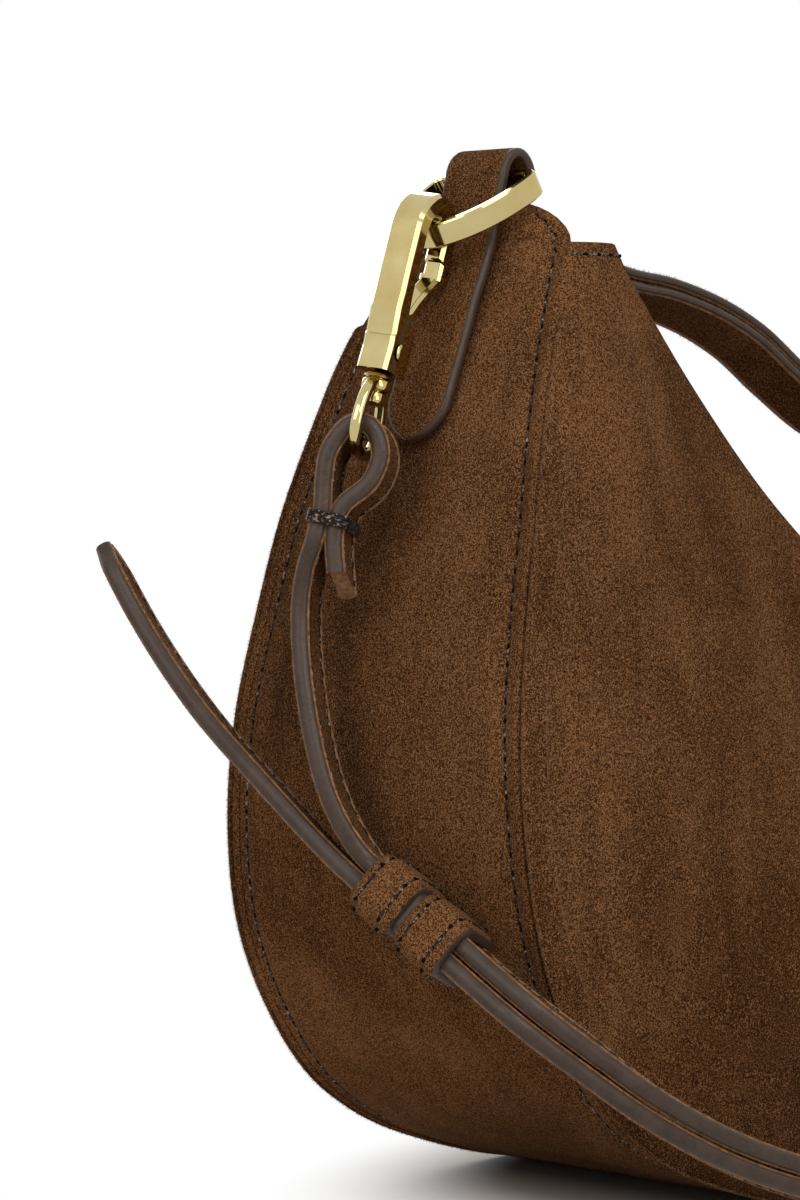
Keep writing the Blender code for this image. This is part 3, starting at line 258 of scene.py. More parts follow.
# Camera of the photograph
VIEW_TURN = math.radians(43)
VIEW_PITCH = math.radians(2)
VIEW_DISTANCE = 950 * MM
VIEW_TARGET = Vector((-160, 0, 136)) * MM
VIEW_LENS = 131.1


def size_setting(name, description, default, lowest, highest):
    return bpy.props.FloatProperty(
        name=name, description=description, default=default, min=lowest, max=highest,
        unit="LENGTH", precision=5,
    )


def colour_setting(name, description, default):
    return bpy.props.FloatVectorProperty(
        name=name, description=description, default=default, subtype="COLOR", size=3, min=0, max=1,
    )


class BagSizes(bpy.types.PropertyGroup):
    """Sizes of the sewn and finished details."""

    stitch_pitch: size_setting(
        "Stitch pitch", "Distance from one stitch to the next", 4 * MM, 2 * MM, 8 * MM)
    stitch_length: size_setting(
        "Stitch length", "Length of thread that shows in each stitch", 3.1 * MM, 1 * MM, 6 * MM)
    thread_radius: size_setting(
        "Thread radius", "Half the thickness of the sewing thread", 0.3 * MM, 0.1 * MM, 0.6 * MM)
    # Each needle hole is drawn as a dark disc of painted shade, of this radius.
    needle_hole: size_setting(
        "Needle hole", "Radius of the hole between two stitches", 0.66 * MM, 0.1 * MM, 0.9 * MM)
    edge_dome: size_setting(
        "Edge dome", "How far a strap's painted edge stands out", 0.9 * MM, 0.2 * MM, 1.5 * MM)
    sag: size_setting(
        "Sag", "Depth of the soft waves in the bag's sides", 0.9 * MM, 0, 3 * MM)
    metal_bevel: size_setting(
        "Metal bevel", "Width of the soft edges of the zip's slider", 0.2 * MM, 0.1 * MM, 1 * MM)


class BagColours(bpy.types.PropertyGroup):
    """Colours of the suede, the edges, the threads, the cloth and the metal."""

    suede: colour_setting("Suede", "Middle colour of the suede", (0.104, 0.0445, 0.0165))
    suede_light: colour_setting(
        "Brushed suede", "Suede where the nap is brushed light", (0.26, 0.122, 0.05))
    suede_dark: colour_setting(
        "Dark suede", "Suede where the nap is pressed dark", (0.03, 0.0122, 0.0046))
    raw_side: colour_setting(
        "Raw fibres", "Fibres along the cut edges of the suede", (0.33, 0.165, 0.07))
    edge_paint: colour_setting("Edge paint", "Paint on the edges of the straps", (0.046, 0.029, 0.02))
    thread: colour_setting("Thread", "Waxed sewing thread", (0.016, 0.0105, 0.008))
    lining: colour_setting("Lining", "Woven lining of the bag", (0.19, 0.135, 0.085))
    tape: colour_setting("Zip tape", "Woven tape of the zip", (0.045, 0.024, 0.014))
    gold: colour_setting("Gold", "Pale gold plating of the fittings", (0.55, 0.462, 0.228))


# Curves and tables

def mix(first, second, share):
    return first + (second - first) * share


def smooth_curve(points, steps):
    """A curve through all the points, with the given steps in each span."""
    spans = [(second - first).length for first, second in zip(points, points[1:])]
    ways = [(b - a) / span for a, b, span in zip(points, points[1:], spans)]
    slopes = [ways[0]]
    for index in range(1, len(spans)):
        before = spans[index - 1]
        after = spans[index]
        slopes.append((ways[index - 1] * after + ways[index] * before) / (before + after))
    slopes.append(ways[-1])
    made = []
    for index, span in enumerate(spans):
        for step in range(steps):
            t = step / steps
            made.append(
                points[index] * (1 + 2 * t) * (1 - t) ** 2
                + slopes[index] * span * t * (1 - t) ** 2
                + points[index + 1] * t**2 * (3 - 2 * t)
                + slopes[index + 1] * span * t**2 * (t - 1)
            )
    return made + [points[-1].copy()]


def steady_steps(values, steps):
    """The values again, with the given straight steps from each to the next."""
    made = []
    for first, second in zip(values, values[1:]):
        made += [mix(first, second, step / steps) for step in range(steps)]
    return made + [values[-1]]


def even_points(curve, count):
    """The curve again, as count + 1 points at even distances."""
    along = [0]
    for first, second in zip(curve, curve[1:]):
        along.append(along[-1] + (second - first).length)
    made = []
    index = 0
    for step in range(count + 1):
        wanted = along[-1] * step / count
        while index < len(curve) - 2 and along[index + 1] < wanted:
            index += 1
        span = along[index + 1] - along[index]
        made.append(curve[index].lerp(curve[index + 1], (wanted - along[index]) / span))
    return made


def spaced(curve, pitch):
    """Places along a curve of points, one pitch apart."""
    length = sum((b - a).length for a, b in zip(curve, curve[1:]))
    return even_points(curve, max(2, round(length / pitch)))


def eased_table(shares):
    """A table of (position, value) with its corners eased."""
    return [tuple(point) for point in smooth_curve([Vector(pair) for pair in shares], 8)]


def table_value(table, position):
    for (left, low), (right, high) in zip(table, table[1:]):
        if position <= right:
            return mix(low, high, max(0, (position - left) / (right - left)))
    return table[-1][1]


def full_curve(shares):
    """A side outline from the left corner to the right one, from its left half's shares."""
    left = [Vector((-x * LENGTH / 2, z * HEIGHT)) for x, z in shares]
    right = [Vector((-point.x, point.y)) for point in reversed(left[:-1])]
    curve = even_points(smooth_curve(left + right, 16), SIDE_STATIONS)
    return [Vector((point.x, max(0, point.y))) for point in curve]


DEPTH_TABLE = eased_table(DEPTH_SHARES)
CROWN_TABLE = eased_table(CROWN_SHARES)
OUTLINE = full_curve(OUTLINE_SHARES)
RIM = full_curve(RIM_SHARES)
LONGEST_SPAN = max((low - high).length for low, high in zip(OUTLINE, RIM))


def half_depth(height):
    return DEPTH / 2 * table_value(DEPTH_TABLE, height / HEIGHT)


def gusset_crown(height):
    return GUSSET_CROWN * max(0, table_value(CROWN_TABLE, height / HEIGHT))


def rim_half_depth(station):
    """Half the depth of the mouth at a station of the top edge."""
    corner = half_depth(HEIGHT)
    return mix(corner, OPENING_DEPTH / 2, math.sin(math.pi * station / SIDE_STATIONS))


def soft_wave(place, size):
    """A slow uneven swelling, between -1 and 1."""
    return noise.noise(Vector(place) / size) * 1.6


def panel_point(station, share, lift, front=-1):
    """A point of a panel's outer face, raised by lift. Share 0 is the seam, 1 the top edge."""
    low = OUTLINE[station]
    high = RIM[station]
    place = low.lerp(high, share)
    depth = mix(half_depth(low.y), rim_half_depth(station), share)
    crown = PANEL_CROWN * math.sin(math.pi * share) * (high - low).length / LONGEST_SPAN
    sag = bpy.context.scene.bag_sizes.sag * math.sin(math.pi * share)
    crown += sag * soft_wave((place.x, front, place.y), 45 * MM)
    return Vector((place.x, front * (depth + crown + lift), place.y))


def outward(curve, index):
    """The outward direction of the outline at a point, in the X-Z plane."""
    along = curve[min(len(curve) - 1, index + 1)] - curve[max(0, index - 1)]
    along.normalize()
    return Vector((along.y, -along.x))


def stations_below(curve, height_share):
    return [i for i, point in enumerate(curve) if point.y < HEIGHT * height_share]


# Nodes of a material

def node(tree, kind, inputs=(), **settings):
    """A new shader node. Inputs gives each socket a value or an output to take it from."""
    made = tree.nodes.new("ShaderNode" + kind)
    for name, value in settings.items():
        setattr(made, name, value)
    for name, value in dict(inputs).items():
        if isinstance(value, bpy.types.NodeSocket):
            tree.links.new(value, made.inputs[name])
        else:
            made.inputs[name].default_value = value
    return made


def grain(tree, place, scale, detail=2, roughness=0.5, distortion=0):
    """Noise of the given number of lumps in a metre."""
    values = {"Vector": place, "Scale": scale, "Detail": detail, "Roughness": roughness}
    return node(tree, "TexNoise", {**values, "Distortion": distortion}).outputs[0]


def sum_of(tree, *terms):
    """The sum of outputs, each with its weight, and of one plain number at the end."""
    total = terms[-1]
    for output, weight in terms[:-1]:
        made = node(tree, "Math", {0: output, 1: weight, 2: total}, operation="MULTIPLY_ADD")
        total = made.outputs[0]
    return total


def ramp(tree, factor, stops):
    """A colour ramp through (place, colour) stops."""
    made = node(tree, "ValToRGB", {0: factor})
    elements = made.color_ramp.elements
    while len(elements) < len(stops):
        elements.new(0.5)
    for element, (place, colour) in zip(elements, stops):
        element.position = place
        element.color = (*colour, 1)
    return made.outputs[0]


def new_finish(name, roughness, metallic=0):
    """A new material with its tree, its shader and the object's own coordinates."""
    made = bpy.data.materials.new(name)
    made.use_nodes = True
    tree = made.node_tree
    shader = tree.nodes["Principled BSDF"]
    shader.inputs["Roughness"].default_value = roughness
    shader.inputs["Metallic"].default_value = metallic
    place = node(tree, "TexCoord").outputs["Object"]
    return made, tree, shader, place


def bumped(tree, shader, height, distance, strength=1):
    made = node(tree, "Bump", {"Strength": strength, "Distance": distance, "Height": height})
    tree.links.new(made.outputs[0], shader.inputs["Normal"])


def set_sheen(shader, weight, roughness, tint):
    shader.inputs["Sheen Weight"].default_value = weight
    shader.inputs["Sheen Roughness"].default_value = roughness
    shader.inputs["Sheen Tint"].default_value = (*tint, 1)


def stretched(tree, place, scale, turn=(0, 0, 0)):
    """The place in stretched coordinates, for marks that run one way."""
    return node(tree, "Mapping", {"Vector": place, "Scale": scale, "Rotation": turn}).outputs[0]


def suede_finish(name, light=0.0):
    """Napped suede: broad brushed patches, short strokes and a grain of fibre tips."""
    made = bpy.data.materials.get(name)
    if made:
        return made
    colours = bpy.context.scene.bag_colours
    made, tree, shader, place = new_finish(name, 1)
    shader.inputs["Specular IOR Level"].default_value = 0.03
    patches = grain(tree, place, 13, 2, 0.5, 0.8)
    strokes = grain(tree, stretched(tree, place, (1, 1, 0.3), (0.25, 0.2, 0)), 85, 3, 0.6, 0.5)
    fibres = grain(tree, place, 1400, 2, 0.6)
    tips = grain(tree, place, 3100, 1, 0.5)
    terms = ((patches, 0.75), (strokes, 0.45), (fibres, 0.9), (tips, 2.5))
    shade = sum_of(tree, *terms, -1.89 + light)
    colour = ramp(tree, shade, [
        (0.1, colours.suede_dark), (0.46, colours.suede), (0.82, colours.suede_light),
    ])
    tree.links.new(colour, shader.inputs["Base Color"])
    height = sum_of(tree, (fibres, 0.6), (tips, 0.5), (strokes, 0.6), 0.0)
    bumped(tree, shader, height, 0.35 * MM, 0.8)
    set_sheen(shader, 0.03, 0.4, (0.85, 0.5, 0.28))
    return made


def edge_finish():
    """Dark satin paint, domed over the edges of the straps and tabs."""
    made = bpy.data.materials.get("Edge paint")
    if made:
        return made
    paint = bpy.context.scene.bag_colours.edge_paint
    made, tree, shader, place = new_finish("Edge paint", 0.35)
    shader.inputs["Specular IOR Level"].default_value = 0.2
    wear = grain(tree, place, 170, 4, 0.65)
    pits = grain(tree, place, 1500, 2, 0.5)
    lighter = [min(1, value * 1.7 + 0.006) for value in paint]
    shade = sum_of(tree, (wear, 0.8), (pits, 0.3), -0.05)
    tree.links.new(ramp(tree, shade, [(0.35, paint), (0.8, lighter)]), shader.inputs["Base Color"])
    rough = sum_of(tree, (wear, 0.2), (pits, 0.15), 0.15)
    tree.links.new(rough, shader.inputs["Roughness"])
    bumped(tree, shader, sum_of(tree, (wear, 1.0), (pits, 0.4), 0.0), 0.16 * MM, 0.8)
    return made


def fibre_finish():
    """Short tan fibres that stand along the cut edges of the suede."""
    made = bpy.data.materials.get("Raw fibres")
    if made:
        return made
    colours = bpy.context.scene.bag_colours
    made, tree, shader, place = new_finish("Raw fibres", 0.9)
    shade = grain(tree, place, 700, 2, 0.6)
    colour = ramp(tree, shade, [(0.3, colours.suede), (0.7, colours.raw_side)])
    tree.links.new(colour, shader.inputs["Base Color"])
    set_sheen(shader, 0.4, 0.4, (0.9, 0.65, 0.4))
    return made


def thread_finish():
    """Waxed thread, with painted glints: light spots laid on its colour along the twisted fibres."""
    made = bpy.data.materials.get("Waxed thread")
    if made:
        return made
    dark = bpy.context.scene.bag_colours.thread
    made, tree, shader, place = new_finish("Waxed thread", 0.35)
    shader.inputs["Specular IOR Level"].default_value = 0.1
    twist_and_painted_glints = grain(tree, place, 1300, 2, 0.6)
    # The lighter colour is a painted glint, laid on the light spots of the twist noise.
    lighter = [min(1, value * 12 + 0.12) for value in dark]
    tree.links.new(ramp(tree, twist_and_painted_glints, [(0.54, dark), (0.66, lighter)]), shader.inputs["Base Color"])
    bumped(tree, shader, twist_and_painted_glints, 0.2 * MM, 0.8)
    return made


def hole_shade_finish():
    """Painted shade for the inside of a needle hole: a near-black colour."""
    made = bpy.data.materials.get("Needle hole")
    if made:
        return made
    dark = bpy.context.scene.bag_colours.thread
    made, tree, shader, place = new_finish("Needle hole", 1)
    shader.inputs["Specular IOR Level"].default_value = 0
    # The darker colour is painted shade, deeper than the thread itself.
    darker = [value * 0.3 for value in dark]
    fibres = grain(tree, place, 1500, 2, 0.6)
    tree.links.new(ramp(tree, fibres, [(0.3, darker), (0.8, dark)]), shader.inputs["Base Color"])
    return made


def woven_finish(name, colour, count, rough):
    """Plain cloth: warp and weft of the given number of threads in a metre."""
    made = bpy.data.materials.get(name)
    if made:
        return made
    made, tree, shader, place = new_finish(name, rough)
    warp = node(tree, "TexWave", {0: place, "Scale": count / 20}, bands_direction="X").outputs[1]
    weft = node(tree, "TexWave", {0: place, "Scale": count / 20}, bands_direction="Z").outputs[1]
    slubs = grain(tree, place, 300, 3, 0.6)
    weave = sum_of(tree, (warp, 0.5), (weft, 0.5), (slubs, 0.35), -0.17)
    darker = [value * 0.55 for value in colour]
    tree.links.new(ramp(tree, weave, [(0.2, darker), (0.75, colour)]), shader.inputs["Base Color"])
    bumped(tree, shader, weave, 0.15 * MM, 0.7)
    set_sheen(shader, 0.3, 0.4, (1, 0.95, 0.9))
    return made


def gold_finish():
    """Polished pale gold plating with faint polishing haze and hairline scratches."""
    made = bpy.data.materials.get("Pale gold")
    if made:
        return made
    gold = bpy.context.scene.bag_colours.gold
    made, tree, shader, place = new_finish("Pale gold", 0.1, 1)
    haze = grain(tree, place, 90, 3, 0.6)
    lines = grain(tree, stretched(tree, place, (1, 1, 0.06), (0.3, 0.5, 0)), 4000, 1)
    rough = sum_of(tree, (haze, 0.12), (lines, 0.05), 0.0)
    tree.links.new(rough, shader.inputs["Roughness"])
    deeper = [gold[0] * 0.93, gold[1] * 0.86, gold[2] * 0.7]
    tree.links.new(ramp(tree, haze, [(0.3, deeper), (0.7, gold)]), shader.inputs["Base Color"])
    bumped(tree, shader, haze, 0.03 * MM, 0.5)
    return made


def lining_finish():
    return woven_finish("Lining cloth", bpy.context.scene.bag_colours.lining, 2200, 0.75)


def tape_finish():
    return woven_finish("Zip tape", bpy.context.scene.bag_colours.tape, 1600, 0.8)


# Pieces from meshes

def add_object(name, data):
    made = bpy.data.objects.new(name, data)
    bpy.context.scene.collection.objects.link(made)
    return made


def add_face(bm, corners, slot=0):
    face = bm.faces.new(corners)
    face.material_index = slot
    face.smooth = True


def new_piece(name, bm, finishes, body=None, replaces=(), sharp=60):
    """One object from the bmesh, riding on its body and standing for its solids."""
    bmesh.ops.recalc_face_normals(bm, faces=bm.faces)
    mesh = bpy.data.meshes.new(name)
    bm.to_mesh(mesh)
    bm.free()
    for finish in finishes:
        mesh.materials.append(finish)
    mesh.shade_smooth()
    mesh.set_sharp_from_angle(angle=math.radians(sharp))
    made = add_object(name, mesh)
    if body:
        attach(made, body)
    if replaces:
        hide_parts(*replaces)
    return made


def frames(points, widths, closed=False):
    """(point, width direction, through direction) at each point of a path."""
    made = []
    last = len(points) - 1
    for index, point in enumerate(points):
        if closed:
            tangent = points[(index + 1) % len(points)] - points[index - 1]
        else:
            tangent = points[min(last, index + 1)] - points[max(0, index - 1)]
        tangent.normalize()
        width = widths[index] if isinstance(widths, list) else widths
        width = (width - tangent * width.dot(tangent)).normalized()
        made.append((point, width, tangent.cross(width)))
    return made


def tube(bm, rings, slots=0, closed=False):
    """One solid through rings of points. Slots is one slot or one for each point of a ring."""
    count = len(rings[0])
    slots = slots if isinstance(slots, list) else [slots] * count
    pairs = list(zip(rings, rings[1:]))
    if closed:
        pairs.append((rings[-1], rings[0]))
    for first, second in pairs:
        for k in range(count):
            m = (k + 1) % count
            add_face(bm, (first[k], first[m], second[m], second[k]), slots[k])
    if not closed:
        add_face(bm, rings[0], slots[0])
        add_face(bm, rings[-1], slots[0])


def sweep(bm, path, sections, slots=0, closed=False):
    """A solid along a path. Sections is one section or one for each frame of the path."""
    rings = []
    for index, (point, width, through) in enumerate(path):
        section = sections[index] if isinstance(sections[0], list) else sections
        rings.append([bm.verts.new(point + width * a + through * b) for a, b in section])
    tube(bm, rings, slots, closed)


def slab(bm, outer, inner, slots=(0, 0, 0), bulge=0.0):
    """A sheet between two grids, with its edges rounded outward by bulge times its thickness."""
    top, bottom = [[[bm.verts.new(p) for p in row] for row in grid] for grid in (outer, inner)]
    rows = len(outer)
    columns = len(outer[0])
    for grid, slot in ((top, slots[0]), (bottom, slots[1])):
        for i in range(rows - 1):
            for j in range(columns - 1):
                corners = (grid[i][j], grid[i + 1][j], grid[i + 1][j + 1], grid[i][j + 1])
                add_face(bm, corners, slot)
    border = [(i, 0) for i in range(rows)]
    border += [(rows - 1, j) for j in range(1, columns)]
    border += [(i, columns - 1) for i in range(rows - 2, -1, -1)]
    border += [(0, j) for j in range(columns - 2, 0, -1)]
    middle = []
    for i, j in border:
        upper = top[i][j].co
        lower = bottom[i][j].co
        inside = top[min(max(i, 1), rows - 2)][min(max(j, 1), columns - 2)].co
        away = upper - inside
        through = (upper - lower).normalized()
        away = (away - through * away.dot(through)).normalized()
        reach = bulge * (upper - lower).length
        middle.append([
            bm.verts.new(upper.lerp(lower, share) + away * reach * math.sin(math.pi * share))
            for share in (0.2, 0.5, 0.8)
        ])
    for n, (i, j) in enumerate(border):
        m = (n + 1) % len(border)
        k, q = border[m]
        first = [top[i][j], *middle[n], bottom[i][j]]
        second = [top[k][q], *middle[m], bottom[k][q]]
        for step in range(4):
            corners = (first[step], second[step], second[step + 1], first[step + 1])
            add_face(bm, corners, slots[2])


# A stitch along its length, as shares of its length, of its thickness and of its rise
STITCH_SHARES = [(-0.5, 0.5, -0.9), (-0.36, 1, 0), (0, 1.05, 0.5), (0.36, 1, 0), (0.5, 0.5, -0.9)]


def rung(bm, centre, across, out, radius, sides=6):
    """A ring of points round a centre."""
    turns = [2 * math.pi * k / sides for k in range(sides)]
    return [
        bm.verts.new(centre + (across * math.cos(turn) + out * math.sin(turn)) * radius)
        for turn in turns
    ]


def stitches(bm, places, slot):
    """A row of short stitches, each between two needle holes drawn as near-black discs of painted shade.

    Places gives (point, direction along, direction out).
    """
    sizes = bpy.context.scene.bag_sizes
    radius = sizes.thread_radius
    hole = sizes.needle_hole
    for point, along, out in places:
        across = along.cross(out).normalized()
        tube(bm, [
            rung(bm, point + along * sizes.stitch_length * share + out * radius * rise,
                 across, out * 0.85, radius * thick)
            for share, thick, rise in STITCH_SHARES
        ], slot)
        # Each needle hole is a dark plug standing a hair above the surface, coloured as painted shade.
        mouth = point + along * sizes.stitch_pitch / 2
        tube(bm, [
            rung(bm, mouth - out * 0.4 * MM, across * 0.65, along, hole * 0.7, 8),
            rung(bm, mouth + out * 0.04 * MM, across * 0.65, along, hole, 8),
        ], slot + 1)


def row_places(curve, outs):
    """Places of stitches along a curve of points, with the outward direction at each point."""
    pitch = bpy.context.scene.bag_sizes.stitch_pitch
    places = spaced(curve, pitch)
    made = []
    for first, second in zip(places, places[1:]):
        middle = first.lerp(second, 0.5)
        nearest = min(range(len(curve)), key=lambda i: (curve[i] - middle).length_squared)
        made.append((middle, (second - first).normalized(), outs[nearest]))
    return made


def fringe(bm, curve, outs, slot, spread, per_metre, length, thick=0.05 * MM):
    """Short fibres that stand out along a cut edge."""
    places = spaced(curve, 1 / per_metre)
    for index, place in enumerate(places[:-1]):
        along = (places[index + 1] - place).normalized()
        draw = noise.random_unit_vector()
        lift = outs[min(len(outs) - 1, index * len(outs) // len(places))]
        way = (lift + draw * 0.9).normalized()
        root = place + along.cross(lift).normalized() * spread * draw.x
        reach = length * (0.45 + 0.55 * abs(draw.y))
        side = way.cross(along).normalized() * thick
        base = [root + side, root - side * 0.5 + along * thick, root - side * 0.5 - along * thick]
        base = [bm.verts.new(point - way * 0.1 * MM) for point in base]
        tip = bm.verts.new(root + way * reach)
        for k in range(3):
            add_face(bm, (base[k], base[(k + 1) % 3], tip), slot)
        add_face(bm, base, slot)


# Body of the bag

def make_panel(name, front):
    """A crescent side, with a row of stitches below the level edge at each top corner."""
    bm = bmesh.new()
    shares = [row / PANEL_ROWS for row in range(PANEL_ROWS + 1)]
    stations = range(SIDE_STATIONS + 1)
    outer = [[panel_point(i, share, 0, front) for share in shares] for i in stations]
    inner = [[panel_point(i, share, -PANEL_THICKNESS, front) for share in shares] for i in stations]
    slab(bm, outer, inner, bulge=0.18)
    for end in (stations[:6], stations[:-7:-1]):
        columns = [[panel_point(i, step / 10, 0.1 * MM, front) for i in end] for step in range(11)]
        line = [at_height(column, HEIGHT - TOP_ROW_DROP) for column in columns]
        stitches(bm, row_places(line, [Vector((0, front, 0))] * len(line)), 1)
    finishes = [suede_finish("Body suede"), thread_finish(), hole_shade_finish()]
    new_piece(f"{name}_skin", bm, finishes, "bag", [name])


# Columns of the welt: share of its width, and shares of its thickness above and below it
WELT_SHARES = [
    (-0.02, 0.75, 0.4), (0.03, 1, 0.25), (0.12, 1.12, 0.08), (0.35, 1.02, 0), (0.6, 0.92, 0),
    (0.8, 1, 0), (0.92, 1.15, 0), (1, 0.8, 0),
]


def make_welt(name, front):
    """The turned edge over the seam, narrower towards its squared ends, with fuzzy cut edges."""
    bm = bmesh.new()
    outer = []
    inner = []
    stations = stations_below(OUTLINE, WELT_START_SHARE)
    start = OUTLINE[stations[0]].y
    for i in stations:
        near_end = max(0, 1 - (start - OUTLINE[i].y) / WELT_NARROWING)
        reach = WELT_WIDTH * (1 - 0.3 * near_end) / (RIM[i] - OUTLINE[i]).length
        for rows, level in ((outer, 1), (inner, 2)):
            rows.append([
                panel_point(i, reach * column[0], GAP + WELT_THICKNESS * column[level], front)
                for column in WELT_SHARES
            ])
    slab(bm, outer, inner, bulge=0.3)
    for column, beside in ((0, 2), (-1, -3)):
        edge = [row[column] for row in outer]
        outs = [
            ((row[column] - row[beside]).normalized() + Vector((0, front, 0))).normalized()
            for row in outer
        ]
        fringe(bm, edge, outs, 1, 0.4 * MM, 8000, 0.8 * MM, 0.07 * MM)
    finishes = [suede_finish("Welt suede", -0.07), fibre_finish()]
    new_piece(f"{name}_skin", bm, finishes, "bag", [name])


def make_panel_lining(name, front):
    bm = bmesh.new()
    outer = []
    inner = []
    for i in stations_below(OUTLINE, WELT_START_SHARE):
        span = (RIM[i] - OUTLINE[i]).length
        start = LINING_INSET / span
        stop = 1 - LINING_TOP_INSET / span
        if stop - start < LINING_INSET / span:
            continue
        shares = [mix(start, stop, row / 10) for row in range(11)]
        lift = -PANEL_THICKNESS - GAP
        outer.append([panel_point(i, share, lift, front) for share in shares])
        inner.append([panel_point(i, share, lift - LINING_THICKNESS, front) for share in shares])
    slab(bm, outer, inner, bulge=0.3)
    new_piece(f"{name}_skin", bm, [lining_finish()], "bag", [name])


def gusset_curve():
    """The gusset's centre line from tongue to tongue, through the side outline."""
    corner = OUTLINE[0]
    tip = Vector((corner.x - TONGUE_RISE / 8, corner.y + TONGUE_RISE))
    shares = [0.985, 0.95, 0.88, 0.8, 0.7, 0.55, 0.35, 0.17]
    left = [corner.lerp(tip, share) for share in shares]
    right = [Vector((-point.x, point.y)) for point in reversed(left)]
    return left + OUTLINE + right


# Columns of the gusset: first at these shares of the stitches' inset, then in even steps
MARGIN_SHARES = (0, 0.15, 0.35, 0.6, 0.8, 1, 1.25, 1.6, 2, 2.6)
GUSSET_STEPS = 16


def gusset_shares(height):
    """The columns' places across the gusset at a height, from -1 at the front seam to 1."""
    half = half_depth(min(height, HEIGHT))
    side = [1 - share * STITCH_INSET / half for share in MARGIN_SHARES]
    steps = [side[-1] * (1 - 2 * step / GUSSET_STEPS) for step in range(1, GUSSET_STEPS)]
    return [-share for share in side] + [-share for share in steps] + side[::-1]


def gusset_half(height):
    """Half the gusset's width at a height, with only a hair's gap to the panels."""
    return half_depth(min(height, HEIGHT)) - PANEL_THICKNESS - 0.1 * GAP


def gusset_point(curve, index, share, lift):
    """A point of the gusset, lift above its outer face. Share is -1 at the front seam, 1 at the back.

    The outer face dips at the seams and along the stitches.
    """
    place = curve[index]
    rise = max(0, (place.y - HEIGHT) / TONGUE_RISE)
    half = gusset_half(place.y) * math.sqrt(1 - rise**2)
    normal = outward(curve, index)
    push = gusset_crown(place.y) * (1 - share**2) + lift
    edge = half * (1 - abs(share))
    if lift > -GUSSET_THICKNESS / 2:
        push -= 0.15 * MM * math.exp(-((edge / (0.6 * MM)) ** 2))
        push -= 0.75 * MM * math.exp(-(((edge - STITCH_INSET) / (1.5 * MM)) ** 2))
    push += 0.5 * MM * soft_wave((place.x * 1.5, share * half, place.y), 30 * MM) * (1 - share**2)
    return Vector((place.x + normal.x * push, half * share, place.y + normal.y * push))


def make_gusset():
    """One strip from tongue to tongue, topstitched along both seams."""
    bm = bmesh.new()
    curve = gusset_curve()
    outer = []
    inner = []
    for index in range(len(curve)):
        shares = gusset_shares(curve[index].y)
        outer.append([gusset_point(curve, index, share, 0) for share in shares])
        inner.append([gusset_point(curve, index, share, -GUSSET_THICKNESS) for share in shares])
    slab(bm, outer, inner, bulge=0.15)
    for front in (-1, 1):
        line = []
        outs = []
        for index, place in enumerate(curve):
            rise = max(0, (place.y - HEIGHT) / TONGUE_RISE)
            if rise > 0.75:
                continue
            narrowing = math.sqrt(1 - rise**2)
            share = front * (narrowing - STITCH_INSET / gusset_half(place.y)) / narrowing
            normal = outward(curve, index)
            line.append(gusset_point(curve, index, share, 0.05 * MM))
            outs.append(Vector((normal.x, 0, normal.y)))
        stitches(bm, row_places(line, outs), 1)
    finishes = [suede_finish("Body suede"), thread_finish(), hole_shade_finish()]
    new_piece("gusset_skin", bm, finishes, "bag", ["gusset"])


def make_gusset_lining():
    bm = bmesh.new()
    outer = []
    inner = []
    start = -GUSSET_THICKNESS - GAP
    for i in stations_below(OUTLINE, WELT_START_SHARE):
        shares = [0.985 * step / 8 for step in range(-8, 9)]
        outer.append([gusset_point(OUTLINE, i, share, start) for share in shares])
        inner.append([gusset_point(OUTLINE, i, share, start - LINING_THICKNESS) for share in shares])
    slab(bm, outer, inner, bulge=0.3)
    new_piece("lining_gusset_skin", bm, [lining_finish()], "bag", ["lining_gusset"])


# Zip and facings

def facing_stations():
    return stations_below(RIM, FACING_START_SHARE)


def zip_half_gap(station, stations):
    """Half the distance between the facings' free edges, parallel near each end."""
    along = (station - stations[0]) / (stations[-1] - stations[0])
    opening = max(0, math.sin(math.pi * along) - ZIP_PARALLEL_SHARE)
    closed = CHAIN_END_GAP / 2 + CHAIN_WIDTH + GAP + TAPE_SHOWING
    return closed + ZIP_OPEN_GAP / 2 * opening


def zip_height(station):
    """The underside of the facing's free edge."""
    return RIM[station].y - FACING_DROP - FACING_SAG - FACING_THICKNESS


def make_facing(name, front):
    """The inner band below the top edge, sewn to the zip's tape."""
    bm = bmesh.new()
    stations = facing_stations()
    outer = []
    for i in stations:
        share = 1 - FACING_DROP / (RIM[i] - OUTLINE[i]).length
        seat = panel_point(i, share, -PANEL_THICKNESS - GAP, front)
        free = Vector((RIM[i].x, front * zip_half_gap(i, stations), zip_height(i) + FACING_THICKNESS))
        row = [seat.lerp(free, step / 5) for step in range(6)]
        dips = [FACING_SAG / 4 * math.sin(math.pi * step / 5) for step in range(6)]
        outer.append([point - Vector((0, 0, dip)) for point, dip in zip(row, dips)])
    down = Vector((0, 0, FACING_THICKNESS))
    inner = [[point - down for point in row] for row in outer]
    slab(bm, outer, inner, bulge=0.4)
    line = [row[-1].lerp(row[-2], 0.6) for row in outer]
    stitches(bm, row_places(line, [Vector((0, 0, 1))] * len(line)), 1)
    finishes = [suede_finish("Body suede"), thread_finish(), hole_shade_finish()]
    new_piece(f"{name}_skin", bm, finishes, "bag", [name])


def make_tape(name, front):
    bm = bmesh.new()
    stations = facing_stations()
    outer = []
    for i in stations:
        free = zip_half_gap(i, stations)
        depths = [mix(free + TAPE_SEAM, free - TAPE_SHOWING, step / 4) for step in range(5)]
        outer.append([Vector((RIM[i].x, front * depth, zip_height(i) - GAP)) for depth in depths])
    down = Vector((0, 0, TAPE_THICKNESS))
    inner = [[point - down for point in row] for row in outer]
    slab(bm, outer, inner, bulge=0.2)
    new_piece(f"{name}_skin", bm, [tape_finish()], "bag", [name])


